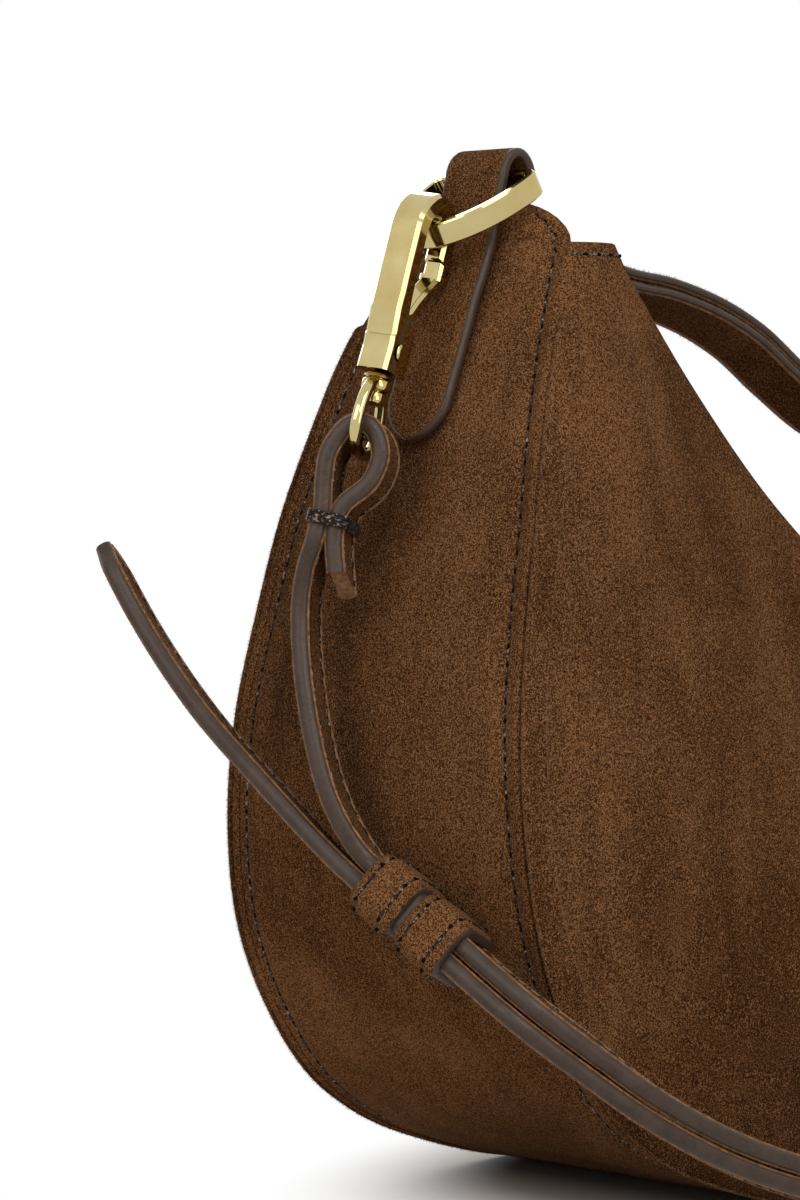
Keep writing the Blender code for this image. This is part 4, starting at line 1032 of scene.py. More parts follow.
def make_teeth(name, front):
    """A row of small metal teeth, each clamped on the tape's edge."""
    bm = bmesh.new()
    stations = facing_stations()
    points = []
    for i in stations:
        depth = zip_half_gap(i, stations) - TAPE_SHOWING - GAP - CHAIN_WIDTH / 2
        points.append(Vector((RIM[i].x, front * depth, zip_height(i) - GAP - TAPE_THICKNESS / 2)))
    half = CHAIN_WIDTH / 2
    wide = TOOTH_PITCH * 0.62
    root = rounded_section(wide, CHAIN_HEIGHT, TOOTH_CORNER, 2)
    neck = rounded_section(wide * 0.62, CHAIN_HEIGHT * 0.8, TOOTH_CORNER, 2)
    tip = rounded_section(wide * 0.9, CHAIN_HEIGHT * 0.62, TOOTH_CORNER, 2)
    places = spaced(points, TOOTH_PITCH)
    for first, second in zip(places, places[1:]):
        middle = first.lerp(second, 0.5 + 0.25 * front)
        along = (second - first).normalized()
        across = Vector((0, -front, 0))
        up = along.cross(across).normalized()
        if up.z < 0:
            up = -up
        path = [(middle + across * half * share, along, up) for share in (-1, -0.2, 0.35, 1)]
        sweep(bm, path, [root, root, neck, tip])
    new_piece(f"{name}_skin", bm, [gold_finish()], "bag", [name], 40)


def dress_solid(name, finish, bevel):
    """A solid whose shape is right keeps its mesh and gets its finish and soft edges."""
    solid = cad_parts[name]
    solid.data.materials.clear()
    solid.data.materials.append(finish)
    made = solid.modifiers.new("Soft edges", "BEVEL")
    made.width = bevel
    made.segments = 3
    made.limit_method = "ANGLE"
    made.angle_limit = math.radians(30)
    made.harden_normals = True


# Straps and tabs

def rounded_section(width, thickness, corner, steps=3):
    """A rectangle with round corners, as (across, through) pairs."""
    corner = min(corner, width / 2 - 1e-6, thickness / 2 - 1e-6)
    made = []
    for cx, cy, start in ((1, 1, 0), (-1, 1, 90), (-1, -1, 180), (1, -1, 270)):
        for step in range(steps + 1):
            turn = math.radians(start + 90 * step / steps)
            a = cx * (width / 2 - corner) + corner * math.cos(turn)
            made.append((a, cy * (thickness / 2 - corner) + corner * math.sin(turn)))
    return made


def strap_section(width, thickness, rim=0):
    """A flat strap with domed painted edges: (pairs, slots). Slot 1 is paint, 4 the raw rim."""
    dome = min(bpy.context.scene.bag_sizes.edge_dome, width / 4)
    flat = width / 2 - dome
    face = [(flat, 0), (flat - RIM_WIDTH * 0.6, rim), (flat - RIM_WIDTH * 1.6, 0), (flat * 0.4, 0)]
    face += [(-a, rise) for a, rise in reversed(face)]
    turns = [math.pi * step / 8 for step in range(1, 8)]
    pairs = [(a, thickness / 2 + rise) for a, rise in face]
    pairs += [(-flat - dome * math.sin(t), thickness / 2 * math.cos(t)) for t in turns]
    pairs += [(-a, -thickness / 2 - rise) for a, rise in face]
    pairs += [(flat + dome * math.sin(t), -thickness / 2 * math.cos(t)) for t in turns]
    side = [4, 4, 0, 0, 0, 4, 4] if rim else [1, 0, 0, 0, 0, 0, 1]
    return pairs, (side + [1] * 8) * 2


def strap_stitches(bm, path, width, thickness, faces=(1, -1)):
    """Two rows of stitches on each face of a strap."""
    for face in faces:
        for edge in (-1, 1):
            line = [
                point + across * edge * (width / 2 - STITCH_INSET) + through * face * (thickness / 2)
                for point, across, through in path
            ]
            outs = [through * face for point, across, through in path]
            stitches(bm, row_places(line, outs), 2)


def strap_fringe(bm, path, width, thickness, per_metre=4500):
    """Suede fibres that stand past the painted edges."""
    for face in (1, -1):
        for edge in (-1, 1):
            line = [
                point + across * edge * (width / 2 - 1 * MM) + through * face * thickness / 2
                for point, across, through in path
            ]
            outs = [
                (through * face + across * edge * 0.5).normalized()
                for point, across, through in path
            ]
            fringe(bm, line, outs, 4, 0.35 * MM, per_metre, 0.95 * MM, 0.06 * MM)


def strap_finishes(suede, light):
    """The finishes of a strap's face, edges, thread, the painted shade of its needle holes, and its
    fibres.
    """
    return [
        suede_finish(suede, light), edge_finish(), thread_finish(), hole_shade_finish(), fibre_finish(),
    ]


def ribbon(name, path, body, replaces=(), blend=None):
    """A length of doubled suede strap with painted edges, stitched near each edge."""
    bm = bmesh.new()
    pairs, slots = strap_section(STRAP_WIDTH, STRAP_THICKNESS, RIM_RISE)
    sweep(bm, path, pairs, slots)
    strap_stitches(bm, path, STRAP_WIDTH, STRAP_THICKNESS)
    strap_fringe(bm, path, STRAP_WIDTH, STRAP_THICKNESS)
    finishes = strap_finishes("Strap suede", 0.0)
    made = new_piece(name, bm, finishes, body, replaces)
    if blend:
        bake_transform(made)


def at_height(line, height):
    """The point at a height on a line that runs downward."""
    for first, second in zip(line, line[1:]):
        if second.z <= height:
            return first.lerp(second, (first.z - height) / (first.z - second.z))
    return line[-1]


def to_side(points, side):
    return [Vector((-side * point.x, point.y, point.z)) for point in points]


def gusset_line(depth, crown_share=1):
    """A line down the gusset at the left end in the middle plane, depth below its outer face."""
    curve = gusset_curve()
    made = []
    for index in range(len(curve) // 3):
        normal = outward(curve, index)
        push = gusset_crown(curve[index].y) * crown_share - depth
        made.append(Vector((curve[index].x + normal.x * push, 0, curve[index].y + normal.y * push)))
    return made


RING_REACH = math.hypot(RING_METAL, RING_BAR) / 2


def ring_bar_place():
    """The middle of the left ring's straight bar, in the tab's loop."""
    tip = OUTLINE[0] + Vector((-TONGUE_RISE / 8, TONGUE_RISE)) * 0.97
    height = HEIGHT + TONGUE_RISE + RING_REACH + 3 * GAP
    return Vector((tip.x + RING_METAL / 4, 0, height))


def make_tab(name, side):
    """A suede strip round the ring's bar, with painted edges and a round tip."""
    centre = ring_bar_place()
    radius = RING_REACH + GAP + TAB_THICKNESS / 2
    outside = gusset_line(-4 * GAP - TAB_THICKNESS / 2)
    inside = gusset_line(GUSSET_THICKNESS + 3 * GAP + TAB_THICKNESS / 2, 0.75)
    top = HEIGHT + TONGUE_RISE / 2
    bottom = top - TAB_LENGTH
    lowest = top - TAB_INNER_LENGTH
    tip_shares = [0, 0.03, 0.1, 0.22, 0.38, 0.58, 0.8, 1]
    points = [at_height(outside, bottom + TAB_TIP * share) for share in tip_shares]
    widths = [TAB_WIDTH * max(0.12, (1 - (1 - share) ** 2) ** 0.62) for share in tip_shares]
    rest = [point for point in reversed(outside) if bottom + TAB_TIP < point.z < top]
    points += rest[::2]
    for angle in range(12, 201, 12):
        turn = math.radians(angle)
        rise = radius * math.sin(turn) + TAB_SLACK * max(0, math.sin(turn))
        points.append(centre + Vector((-math.cos(turn) * radius, 0, rise)))
    widths += [TAB_WIDTH] * (len(points) - len(widths))
    inner = [point for point in inside if lowest < point.z][::2] + [at_height(inside, lowest)]
    widths += [TAB_INNER_WIDTH] * len(inner)
    points += inner
    path = frames(to_side(points, side), Vector((0, 1, 0)))
    bm = bmesh.new()
    sections = [strap_section(width, TAB_THICKNESS) for width in widths]
    sweep(bm, path, [pairs for pairs, slots in sections], sections[0][1])
    finishes = [suede_finish("Tab suede", 0.03), edge_finish()]
    new_piece(f"{name}_skin", bm, finishes, "bag", [name])


def make_end_patch(name):
    """The suede patch that closes the zip's end."""
    low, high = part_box(name)
    bm = bmesh.new()
    steps = range(7)
    outer = [
        [Vector((mix(low.x, high.x, i / 6), mix(low.y, high.y, j / 6), high.z)) for j in steps]
        for i in steps
    ]
    inner = [[Vector((point.x, point.y, low.z)) for point in row] for row in outer]
    slab(bm, outer, inner, bulge=0.3)
    new_piece(f"{name}_skin", bm, [suede_finish("Body suede")], "bag", [name])


# Metal fittings

def new_fitting(name, bm, body, sharp=60):
    """A gold piece that rides on its body and stands for the solid of the same name."""
    return new_piece(f"{name}_metal", bm, [gold_finish()], body, [name], sharp)


def facet_section(width, thickness, facet):
    """A rectangle whose corners are cut to flat facets with narrow rounded borders."""
    a = width / 2
    b = thickness / 2
    border = facet * 0.16
    corner = [
        (a, b - facet - border), (a - border * 0.35, b - facet),
        (a - facet, b - border * 0.35), (a - facet - border, b),
    ]
    upper = corner + [(-x, y) for x, y in reversed(corner)]
    return upper + [(-x, -y) for x, y in upper]


def make_ring(end, side):
    """A D of flat metal: a straight bar, round corners and half an ellipse."""
    half = (RING_WIDTH - RING_METAL) / 2
    far_corner = []
    for step in range(9):
        turn = math.pi / 2 * step / 8
        back = RING_CORNER * (1 - math.cos(turn))
        far_corner.append((back, half - RING_CORNER * (1 - math.sin(turn))))
    near_corner = [(u, -y) for u, y in reversed(far_corner)]
    reach = RING_LENGTH - RING_METAL - RING_CORNER
    bow = []
    for step in range(1, 48):
        turn = math.pi * step / 48
        bow.append((RING_CORNER + reach * math.sin(turn), half * math.cos(turn)))
    bar = [(0, mix(-half + RING_CORNER, half - RING_CORNER, step / 6)) for step in range(1, 6)]
    slope = Vector((-math.cos(RING_SLOPE), 0, -math.sin(RING_SLOPE)))
    outline = far_corner + bow + near_corner + bar
    place = [ring_bar_place() + slope * u + Vector((0, y, 0)) for u, y in outline]
    place = to_side(place, side)
    axial = Vector((side * math.sin(RING_SLOPE), 0, math.cos(RING_SLOPE)))
    bm = bmesh.new()
    section = facet_section(RING_BAR, RING_METAL, RING_FACET)
    sweep(bm, frames(place, axial, closed=True), section, closed=True)
    new_fitting(f"ring_{end}", bm, f"ring_{end}", FACET_ANGLE)


def clasp_frame(side):
    """(origin, outward, across, down) of the hook at one side.

    It hangs a little to the front of the bow's middle and is turned to the front.
    """
    slope = Vector((-math.cos(RING_SLOPE), 0, -math.sin(RING_SLOPE)))
    reach = RING_LENGTH - RING_METAL - RING_CORNER
    half = (RING_WIDTH - RING_METAL) / 2
    origin = ring_bar_place() + slope * (RING_CORNER + reach * math.cos(HOOK_SEAT))
    origin.y = -half * math.sin(HOOK_SEAT)
    out = Vector((-math.cos(HOOK_TURN), -math.sin(HOOK_TURN), 0))
    back = Vector((-math.sin(HOOK_TURN), math.cos(HOOK_TURN), 0))
    down = out * math.sin(HOOK_LEAN_OUT) + back * math.sin(HOOK_LEAN_BACK)
    down = (down - Vector((0, 0, math.cos(HOOK_LEAN_OUT)))).normalized()
    out = (out - down * out.dot(down)).normalized()
    across = back - down * back.dot(down) - out * back.dot(out)
    return to_side([origin, out, across.normalized(), down], side)


def clasp_place(clasp, outward_by, down_by):
    origin, out, across, down = clasp
    return origin + out * outward_by + down * down_by


def clasp_matrix(clasp, outward_by, down_by):
    """Local Z points down the hook from the given place on it, local X points outward."""
    origin, out, across, down = clasp
    turn = Matrix((out, down.cross(out), down)).transposed().to_4x4()
    return Matrix.Translation(clasp_place(clasp, outward_by, down_by)) @ turn


HOOK_REACH = HOOK_CROWN + HOOK_BAR / 2
CROWN_CENTRE = HOOK_CROWN - 6 * GAP - RING_REACH
BLOCK_MIDDLE = HOOK_REACH + HOOK_BAR / 2 - HOOK_BLOCK / 2
PIVOT = (BLOCK_MIDDLE, HOOK_SHANK + HOOK_BLOCK * 0.55)
BLOCK_END = HOOK_SHANK + HOOK_BLOCK * 1.1
NOSE_SLANT = 1.2 * (PIVOT[0] + HOOK_REACH) / (PIVOT[1] - HOOK_NOSE)
STUD_TOP = BLOCK_END + GAP
SHACKLE_TOP = STUD_TOP + STUD_COLLAR_HEIGHT + GAP


def slanted_end(path, clasp):
    """The path with its last section cut aslant, so that the gate swings clear of the nose."""
    origin, out, across, down = clasp
    point, width, through = path[-1]
    return path[:-1] + [(point, width, through - down * through.dot(out) * NOSE_SLANT)]


def eased(points, widths, steps):
    """Points and widths again, with a smooth curve between them."""
    curve = smooth_curve([Vector((a, b, 0)) for a, b in points], steps)
    return [(point.x, point.y) for point in curve], steady_steps(widths, steps)


def make_hook(end, side):
    """The snap hook: a bevelled bar from the swivel's block round to the nose."""
    clasp = clasp_frame(side)
    points = [
        (BLOCK_MIDDLE, BLOCK_END), (BLOCK_MIDDLE, HOOK_SHANK + HOOK_BAR / 4),
        (mix(BLOCK_MIDDLE, HOOK_REACH, 0.85), HOOK_SHANK * 0.88),
        (HOOK_REACH, HOOK_SHANK * 0.65), (HOOK_REACH, CROWN_CENTRE),
    ]
    widths = [HOOK_BLOCK, HOOK_BLOCK, mix(HOOK_BLOCK, HOOK_BAR, 0.85), HOOK_BAR, HOOK_BAR]
    points, widths = eased(points, widths, 4)
    for step in range(1, 25):
        turn = math.pi * step / 24
        points.append((HOOK_REACH * math.cos(turn), CROWN_CENTRE - HOOK_REACH * math.sin(turn)))
    points += [(-HOOK_REACH, mix(CROWN_CENTRE, HOOK_NOSE, 0.5)), (-HOOK_REACH, HOOK_NOSE)]
    widths += [HOOK_BAR] * (len(points) - len(widths))
    tapers = [max(0, min(1, (step - len(points) + 20) / 14)) for step in range(len(points))]
    sections = [
        facet_section(mix(HOOK_DEPTH, GATE_DEPTH, taper), width, HOOK_FACET)
        for width, taper in zip(widths, tapers)
    ]
    places = [clasp_place(clasp, out, down) for out, down in points]
    bm = bmesh.new()
    sweep(bm, slanted_end(frames(places, clasp[2]), clasp), sections)
    hook = new_fitting(f"hook_{end}", bm, f"hook_{end}")
    middle = clasp_matrix(clasp, PIVOT[0] - HOOK_BLOCK * 0.22, PIVOT[1] - HOOK_BLOCK * 0.38)
    cut(hook, helper_box((HOOK_BLOCK, GATE_TONGUE + 2 * GAP, HOOK_BLOCK * 1.4), middle))


def helper_box(size, where):
    """A box across the hook, given by its size outward, across and down."""
    bm = bmesh.new()
    bmesh.ops.create_cube(bm, size=1)
    bmesh.ops.scale(bm, vec=size, verts=bm.verts)
    bmesh.ops.transform(bm, matrix=where, verts=bm.verts)
    bmesh.ops.recalc_face_normals(bm, faces=bm.faces)
    mesh = bpy.data.meshes.new("Cutter")
    bm.to_mesh(mesh)
    bm.free()
    return add_object("Cutter", mesh)


def cut(target, cutter):
    """Cuts the helper out of the piece for good and removes it."""
    modifier = target.modifiers.new("Cut", "BOOLEAN")
    modifier.operation = "DIFFERENCE"
    modifier.object = cutter
    with bpy.context.temp_override(object=target, active_object=target):
        bpy.ops.object.modifier_apply(modifier=modifier.name)
    bpy.data.objects.remove(cutter, do_unlink=True)
    target.data.shade_smooth()
    target.data.set_sharp_from_angle(angle=math.radians(FACET_ANGLE))


# Route of the gate from its pivot, as shares of the way inward and of the way up to the nose,
# and the two ends of its collar on the way up
GATE_SHARES = [
    (0, 0), (0.15, 0.22), (0.3, 0.38), (0.35, 0.42), (0.5, 0.55), (0.75, 0.72), (0.94, 0.84),
    (1, 0.9), (1, 1),
]
COLLAR_SHARES = (0.86, 0.92)


def make_gate(end, side):
    """The sprung arm, with a collar where its flat bar meets the round nose end."""
    clasp = clasp_frame(side)
    top = HOOK_NOSE + GAP
    points = [(PIVOT[0], PIVOT[1] + RIVET_RADIUS * 2)]
    points += [(mix(PIVOT[0], -HOOK_REACH, out), mix(PIVOT[1], top, up)) for out, up in GATE_SHARES]
    depths = [GATE_TONGUE] * 4 + [GATE_DEPTH] * 6
    widths = [RIVET_RADIUS * 3.6] * 2 + [GATE_THICKNESS] * 8
    sections = [facet_section(depth, width, GATE_FACET) for depth, width in zip(depths, widths)]
    places = [clasp_place(clasp, out, down) for out, down in points]
    bm = bmesh.new()
    sweep(bm, slanted_end(frames(places, clasp[2]), clasp), sections)
    neck = [clasp_place(clasp, -HOOK_REACH, mix(PIVOT[1], top, up)) for up in COLLAR_SHARES]
    collar = facet_section(GATE_DEPTH + 0.7 * MM, GATE_THICKNESS + 1.1 * MM, 0.6 * MM)
    sweep(bm, frames(neck, clasp[2]), collar)
    new_fitting(f"gate_{end}", bm, f"gate_{end}", FACET_ANGLE)


def turned(bm, profile, where, sides=32):
    """A turned solid round the matrix's Z, from (radius, height) pairs."""
    turns = [2 * math.pi * k / sides for k in range(sides)]
    tube(bm, [
        [
            bm.verts.new(where @ Vector((radius * math.cos(turn), radius * math.sin(turn), height)))
            for turn in turns
        ]
        for radius, height in profile
    ])


def make_rivet(end, side):
    """The gate's rivet through the hook's block, with a domed head on each side."""
    half = HOOK_DEPTH / 2 + GAP
    head_shares = [(0.25, 1), (0.5, 0.95), (0.75, 0.75), (0.9, 0.45), (1, 0)]
    top = [(RIVET_HEAD * radius, half + RIVET_HEAD_HEIGHT * rise) for radius, rise in head_shares]
    profile = [(radius, -height) for radius, height in top]
    profile += [(RIVET_RADIUS, -half), (RIVET_RADIUS, half)] + top[::-1]
    where = clasp_matrix(clasp_frame(side), *PIVOT) @ Matrix.Rotation(math.pi / 2, 4, "X")
    bm = bmesh.new()
    turned(bm, profile, where, 24)
    new_fitting(f"gate_rivet_{end}", bm, f"hook_{end}")


def make_stud(end, side):
    """The swivel's stud: a collar under the hook, a neck and a head inside the shackle."""
    neck = SHACKLE_METAL + 2 * GAP
    head = STUD_COLLAR_HEIGHT + neck
    bottom = head + STUD_HEAD_HEIGHT
    wide = STUD_COLLAR * 0.82
    profile = [
        (wide, 0), (STUD_COLLAR * 0.95, 0.3 * MM), (STUD_COLLAR, 0.7 * MM),
        (STUD_COLLAR, STUD_COLLAR_HEIGHT - 0.3 * MM), (STUD_COLLAR - 0.3 * MM, STUD_COLLAR_HEIGHT),
        (STUD_RADIUS, STUD_COLLAR_HEIGHT), (STUD_RADIUS, head), (wide - 0.3 * MM, head),
        (wide, head + 0.3 * MM), (wide, mix(head, bottom, 0.6)), (wide * 0.9, mix(head, bottom, 0.85)),
        (wide * 0.6, bottom), (wide * 0.2, bottom),
    ]
    bm = bmesh.new()
    turned(bm, profile, clasp_matrix(clasp_frame(side), BLOCK_MIDDLE, STUD_TOP))
    new_fitting(f"swivel_stud_{end}", bm, f"hook_{end}")


def strap_frame(side):
    """(bar middle, width direction, sideways direction, down) of the strap in its shackle."""
    clasp = clasp_frame(side)
    down = clasp[3]
    width = Vector((-side * math.cos(STRAP_TURN), math.sin(STRAP_TURN), 0))
    width = (width - down * width.dot(down)).normalized()
    sideways = Vector((side * math.sin(STRAP_TURN), math.cos(STRAP_TURN), 0))
    sideways = (sideways - down * sideways.dot(down) - width * sideways.dot(width)).normalized()
    middle = clasp_place(clasp, BLOCK_MIDDLE, SHACKLE_TOP + SHACKLE_METAL / 2)
    return middle + down * SHACKLE_LENGTH, width, sideways, down


def make_shackle(end, side):
    """A round stirrup that turns on the stud and carries the strap on its bottom bar."""
    middle, width, sideways, down = strap_frame(side)
    top = STRAP_WIDTH * 0.26
    half = STRAP_WIDTH / 2 + SHACKLE_METAL / 2 + 4 * GAP
    corner = SHACKLE_METAL * 0.6
    right = [
        (top, -SHACKLE_LENGTH), (mix(top, half, 0.6), -SHACKLE_LENGTH * 0.87),
        (half, -SHACKLE_LENGTH * 0.6), (half, -corner), (half - corner, 0),
    ]
    left = [(-w, d) for w, d in reversed(right)]
    corners = [Vector((w, d, 0)) for w, d in right + left]
    curve = smooth_curve(corners + [corners[0]], 6)[:-1]
    places = [middle + width * point.x + down * point.y for point in curve]
    bm = bmesh.new()
    section = rounded_section(SHACKLE_METAL, SHACKLE_METAL, 0.9 * MM, 4)
    sweep(bm, frames(places, sideways, closed=True), section, closed=True)
    boss = [
        (STUD_RADIUS + GAP, 0), (SHACKLE_BOSS - 0.4 * MM, 0), (SHACKLE_BOSS, 0.4 * MM),
        (SHACKLE_BOSS, SHACKLE_METAL - 0.4 * MM), (SHACKLE_BOSS - 0.4 * MM, SHACKLE_METAL),
        (STUD_RADIUS + GAP, SHACKLE_METAL),
    ]
    turned_ring(bm, boss, clasp_matrix(clasp_frame(side), BLOCK_MIDDLE, SHACKLE_TOP))
    new_fitting(f"shackle_{end}", bm, f"shackle_{end}")


def turned_ring(bm, profile, where, sides=32):
    """A turned ring round the matrix's Z, from the (radius, height) pairs of its closed section."""
    turns = [2 * math.pi * k / sides for k in range(sides)]
    tube(bm, [
        [
            bm.verts.new(where @ Vector((radius * math.cos(turn), radius * math.sin(turn), height)))
            for radius, height in profile
        ]
        for turn in turns
    ], closed=True)


# Long strap

def loop_points(side, pairs):
    middle, width, sideways, down = strap_frame(side)
    return [middle + sideways * p - down * up for p, up in pairs]


def left_loop_pairs():
    near = STRAP_THICKNESS * 0.05
    far = near + STRAP_THICKNESS + GAP * 2
    straight = BINDING_HEIGHT * 0.75
    top = SHACKLE_METAL / 2 + STRAP_THICKNESS / 2 + 3 * GAP
    flat = SHACKLE_METAL / 2
    bulge = STRAP_THICKNESS * 1.6
    return [
        (-STRAP_THICKNESS * 0.7, -BINDING_DROP - STRAP_THICKNESS * 3.4),
        (near, -BINDING_DROP - straight), (near, -BINDING_DROP + straight),
        (-bulge * 0.9, -BINDING_DROP * 0.42), (-bulge, -BINDING_DROP * 0.1),
        (-flat, top), (flat, top),
        (bulge, -BINDING_DROP * 0.15), (bulge * 0.95, -BINDING_DROP * 0.55),
        (far, -BINDING_DROP + straight), (far, -BINDING_DROP - straight),
    ]


def right_loop_pairs():
    half = STRAP_SPACING / 2
    top = SHACKLE_METAL / 2 + STRAP_THICKNESS / 2 + 3 * GAP
    flat = SHACKLE_METAL / 2
    wide = STRAP_THICKNESS * 1.7
    side = [
        (half, -BINDING_DROP - STRAP_THICKNESS), (half, -BINDING_DROP),
        (wide, -BINDING_DROP * 0.5), (wide, -BINDING_DROP * 0.15),
    ]
    left = [(-p, up) for p, up in side]
    return left + [(-flat, top), (flat, top)] + side[::-1]


def place_by_bag(shares):
    """A place from its shares of half the length, of half the depth and of the height."""
    x, y, z = shares
    return Vector((x * LENGTH / 2, y * DEPTH / 2, z * HEIGHT))


def shifted(path, distance):
    return [(point + through * distance, width, through) for point, width, through in path]


def relaxed(points, first, last, rounds=40):
    """Points with the bends between two places eased by averaging each with its neighbours."""
    points = list(points)
    for _ in range(rounds):
        points[first:last] = [
            points[i] * 0.5 + (points[i - 1] + points[i + 1]) * 0.25 for i in range(first, last)
        ]
    return points


def strap_route():
    """The main strand's frames from the left loop's end to the right loop's first end."""
    left = loop_points(-1, left_loop_pairs())[-1]
    right = loop_points(1, right_loop_pairs())[0]
    places = [left, left + strap_frame(-1)[3] * STRAP_THICKNESS]
    widths = [strap_frame(-1)[1]] * 2
    places += [place_by_bag(place) for place, width in STRAP_ROUTE_SHARES]
    widths += [Vector(width) for place, width in STRAP_ROUTE_SHARES]
    places += [right + strap_frame(1)[3] * STRAP_THICKNESS, right]
    widths += [strap_frame(1)[1]] * 2
    curve = smooth_curve(places, STRAP_STEPS)
    curve = relaxed(curve, 3, KEEPER_START * STRAP_STEPS - 1)
    curve = relaxed(curve, (RISE_START + 1) * STRAP_STEPS, len(curve) - 3)
    return frames(curve, steady_steps(widths, STRAP_STEPS))


def blended_ribbons(name, path, bodies, replaces):
    """A strand cut into one length for each joint between its bodies."""
    last = len(path) - 1
    count = len(bodies) - 1
    cuts = [round(last * step / count) for step in range(count + 1)]
    for step in range(count):
        part = path[cuts[step]:cuts[step + 1] + 1]
        pair = (bodies[step], bodies[step + 1])
        ribbon(f"{name}_{step + 1}", part, None, replaces if step == 0 else (), blend=pair)


def make_strap():
    route = strap_route()
    lower = shifted(route, -STRAP_SPACING)
    keeper = KEEPER_START * STRAP_STEPS
    rise = RISE_START * STRAP_STEPS
    left = smooth_curve(loop_points(-1, left_loop_pairs()), LOOP_STEPS)
    left = frames(left, strap_frame(-1)[1])
    point, width, through = left[0]
    left[0] = (point, width - (left[1][0] - point).normalized() * 0.5, through)
    ribbon("strap_loop_left", left, "shackle_left", ["strap_left_loop"])
    right = smooth_curve(loop_points(1, right_loop_pairs()), LOOP_STEPS)
    ribbon("strap_loop_right", frames(right, strap_frame(1)[1]), "shackle_right", ["strap_right_loop"])
    left_bodies = ["bag", "ring_left", "hook_left", "shackle_left"]
    right_bodies = ["bag", "ring_right", "hook_right", "shackle_right"]
    blended_ribbons("strap_drop", route[keeper::-1], left_bodies, ["strap_left_drop"])
    ribbon("strap_run_upper", route[keeper:rise + 1], "bag", ["strap_upper_run"])
    ribbon("strap_run_lower", lower[keeper:rise + 1], "bag", ["strap_lower_run"])
    blended_ribbons("strap_rise_inner", route[rise:], right_bodies, ["strap_right_rise_inner"])
    blended_ribbons("strap_rise_outer", lower[rise:], right_bodies, ["strap_right_rise_outer"])
    make_tip(lower[keeper:keeper + STRAP_STEPS + 1])


def make_tip(entry):
    """The free end beyond the keeper, rounded off at its tip."""
    places = [place_by_bag(place) for place, width in TIP_ROUTE_SHARES]
    widths = [Vector(width) for place, width in TIP_ROUTE_SHARES]
    back = (entry[0][0] - entry[-1][0]).normalized() * STRAP_THICKNESS
    places += [entry[0][0] + back, entry[0][0], entry[-1][0]]
    widths += [entry[0][1]] * 3
    curve = smooth_curve(places, STRAP_STEPS)[:-STRAP_STEPS]
    path = frames(curve, steady_steps(widths, STRAP_STEPS)[:-STRAP_STEPS])
    bm = bmesh.new()
    sections = []
    slots = strap_section(STRAP_WIDTH, STRAP_THICKNESS, RIM_RISE)[1]
    round_end = STRAP_WIDTH * 0.7
    along = 0
    for index, (point, width, through) in enumerate(path):
        if index:
            along += (point - path[index - 1][0]).length
        share = min(1, along / round_end)
        wide = STRAP_WIDTH * max(0.4, 1 - (1 - share) ** 2)
        thick = STRAP_THICKNESS * (0.8 if index == 0 else 1)
        sections.append(strap_section(wide, thick, RIM_RISE)[0])
    sweep(bm, path, sections, slots)
    strap_stitches(bm, path[2:], STRAP_WIDTH, STRAP_THICKNESS)
    strap_fringe(bm, path[3:], STRAP_WIDTH, STRAP_THICKNESS, per_metre=5000)
    finishes = strap_finishes("Strap suede", 0.0)
    new_piece("strap_free_end", bm, finishes, "bag", ["strap_tip"])


def make_binding():
    """Waxed thread wound round both strands under the left shackle."""
    middle, width, sideways, down = strap_frame(-1)
    pairs = left_loop_pairs()
    offset = (pairs[2][0] + pairs[-1][0]) / 2
    start = middle + sideways * offset + down * (BINDING_DROP - BINDING_HEIGHT / 2)
    through = pairs[-1][0] - pairs[2][0] + STRAP_THICKNESS
    radius = BINDING_HEIGHT / 10
    outline = rounded_section(
        STRAP_WIDTH + 2 * GAP + 2 * radius, through + 2 * GAP + 2 * radius, 1.2 * MM, 4,
    )
    count = len(outline)
    steps = BINDING_WRAPS * count
    places = []
    for step in range(steps + 1):
        a, b = outline[step % count]
        drop = BINDING_HEIGHT * (0.1 + 0.8 * step / steps)
        places.append(start + width * a + sideways * b + down * drop)
    bm = bmesh.new()
    sweep(bm, frames(places, down), rounded_section(2 * radius, 2 * radius, radius, 2))
    new_piece("strap_binding_thread", bm, [thread_finish()], "shackle_left", ["strap_binding"])


# Wall of the keeper along it, as (share of the length, share of the wall)
KEEPER_SHARES = [
    (0, 0.45), (0.012, 0.85), (0.05, 1.1), (0.13, 1.25), (0.24, 1.34), (0.35, 1.25), (0.43, 1.08),
    (0.462, 0.8), (0.474, 0.3), (0.526, 0.3), (0.538, 0.8), (0.57, 1.08), (0.65, 1.25),
    (0.76, 1.34), (0.87, 1.25), (0.95, 1.1), (0.988, 0.85), (1, 0.45),
]

# Spans of that table that are painted edges, and the rows of stitches along the keeper
KEEPER_PAINTED = (0, 7, 8, 9, 16)
KEEPER_ROW_SHARES = (0.1, 0.37, 0.63, 0.9)


def keeper_outline(place, across, through, wall):
    """Points round both strands at a place, one wall outside the keeper's hole."""
    width = STRAP_WIDTH + 2 * KEEPER_CLEARANCE + 2 * wall
    depth = STRAP_SPACING + STRAP_THICKNESS + 2 * KEEPER_CLEARANCE + 2 * wall
    section = rounded_section(width, depth, KEEPER_CORNER + wall, 5)
    return [place + across * a + through * b for a, b in section]


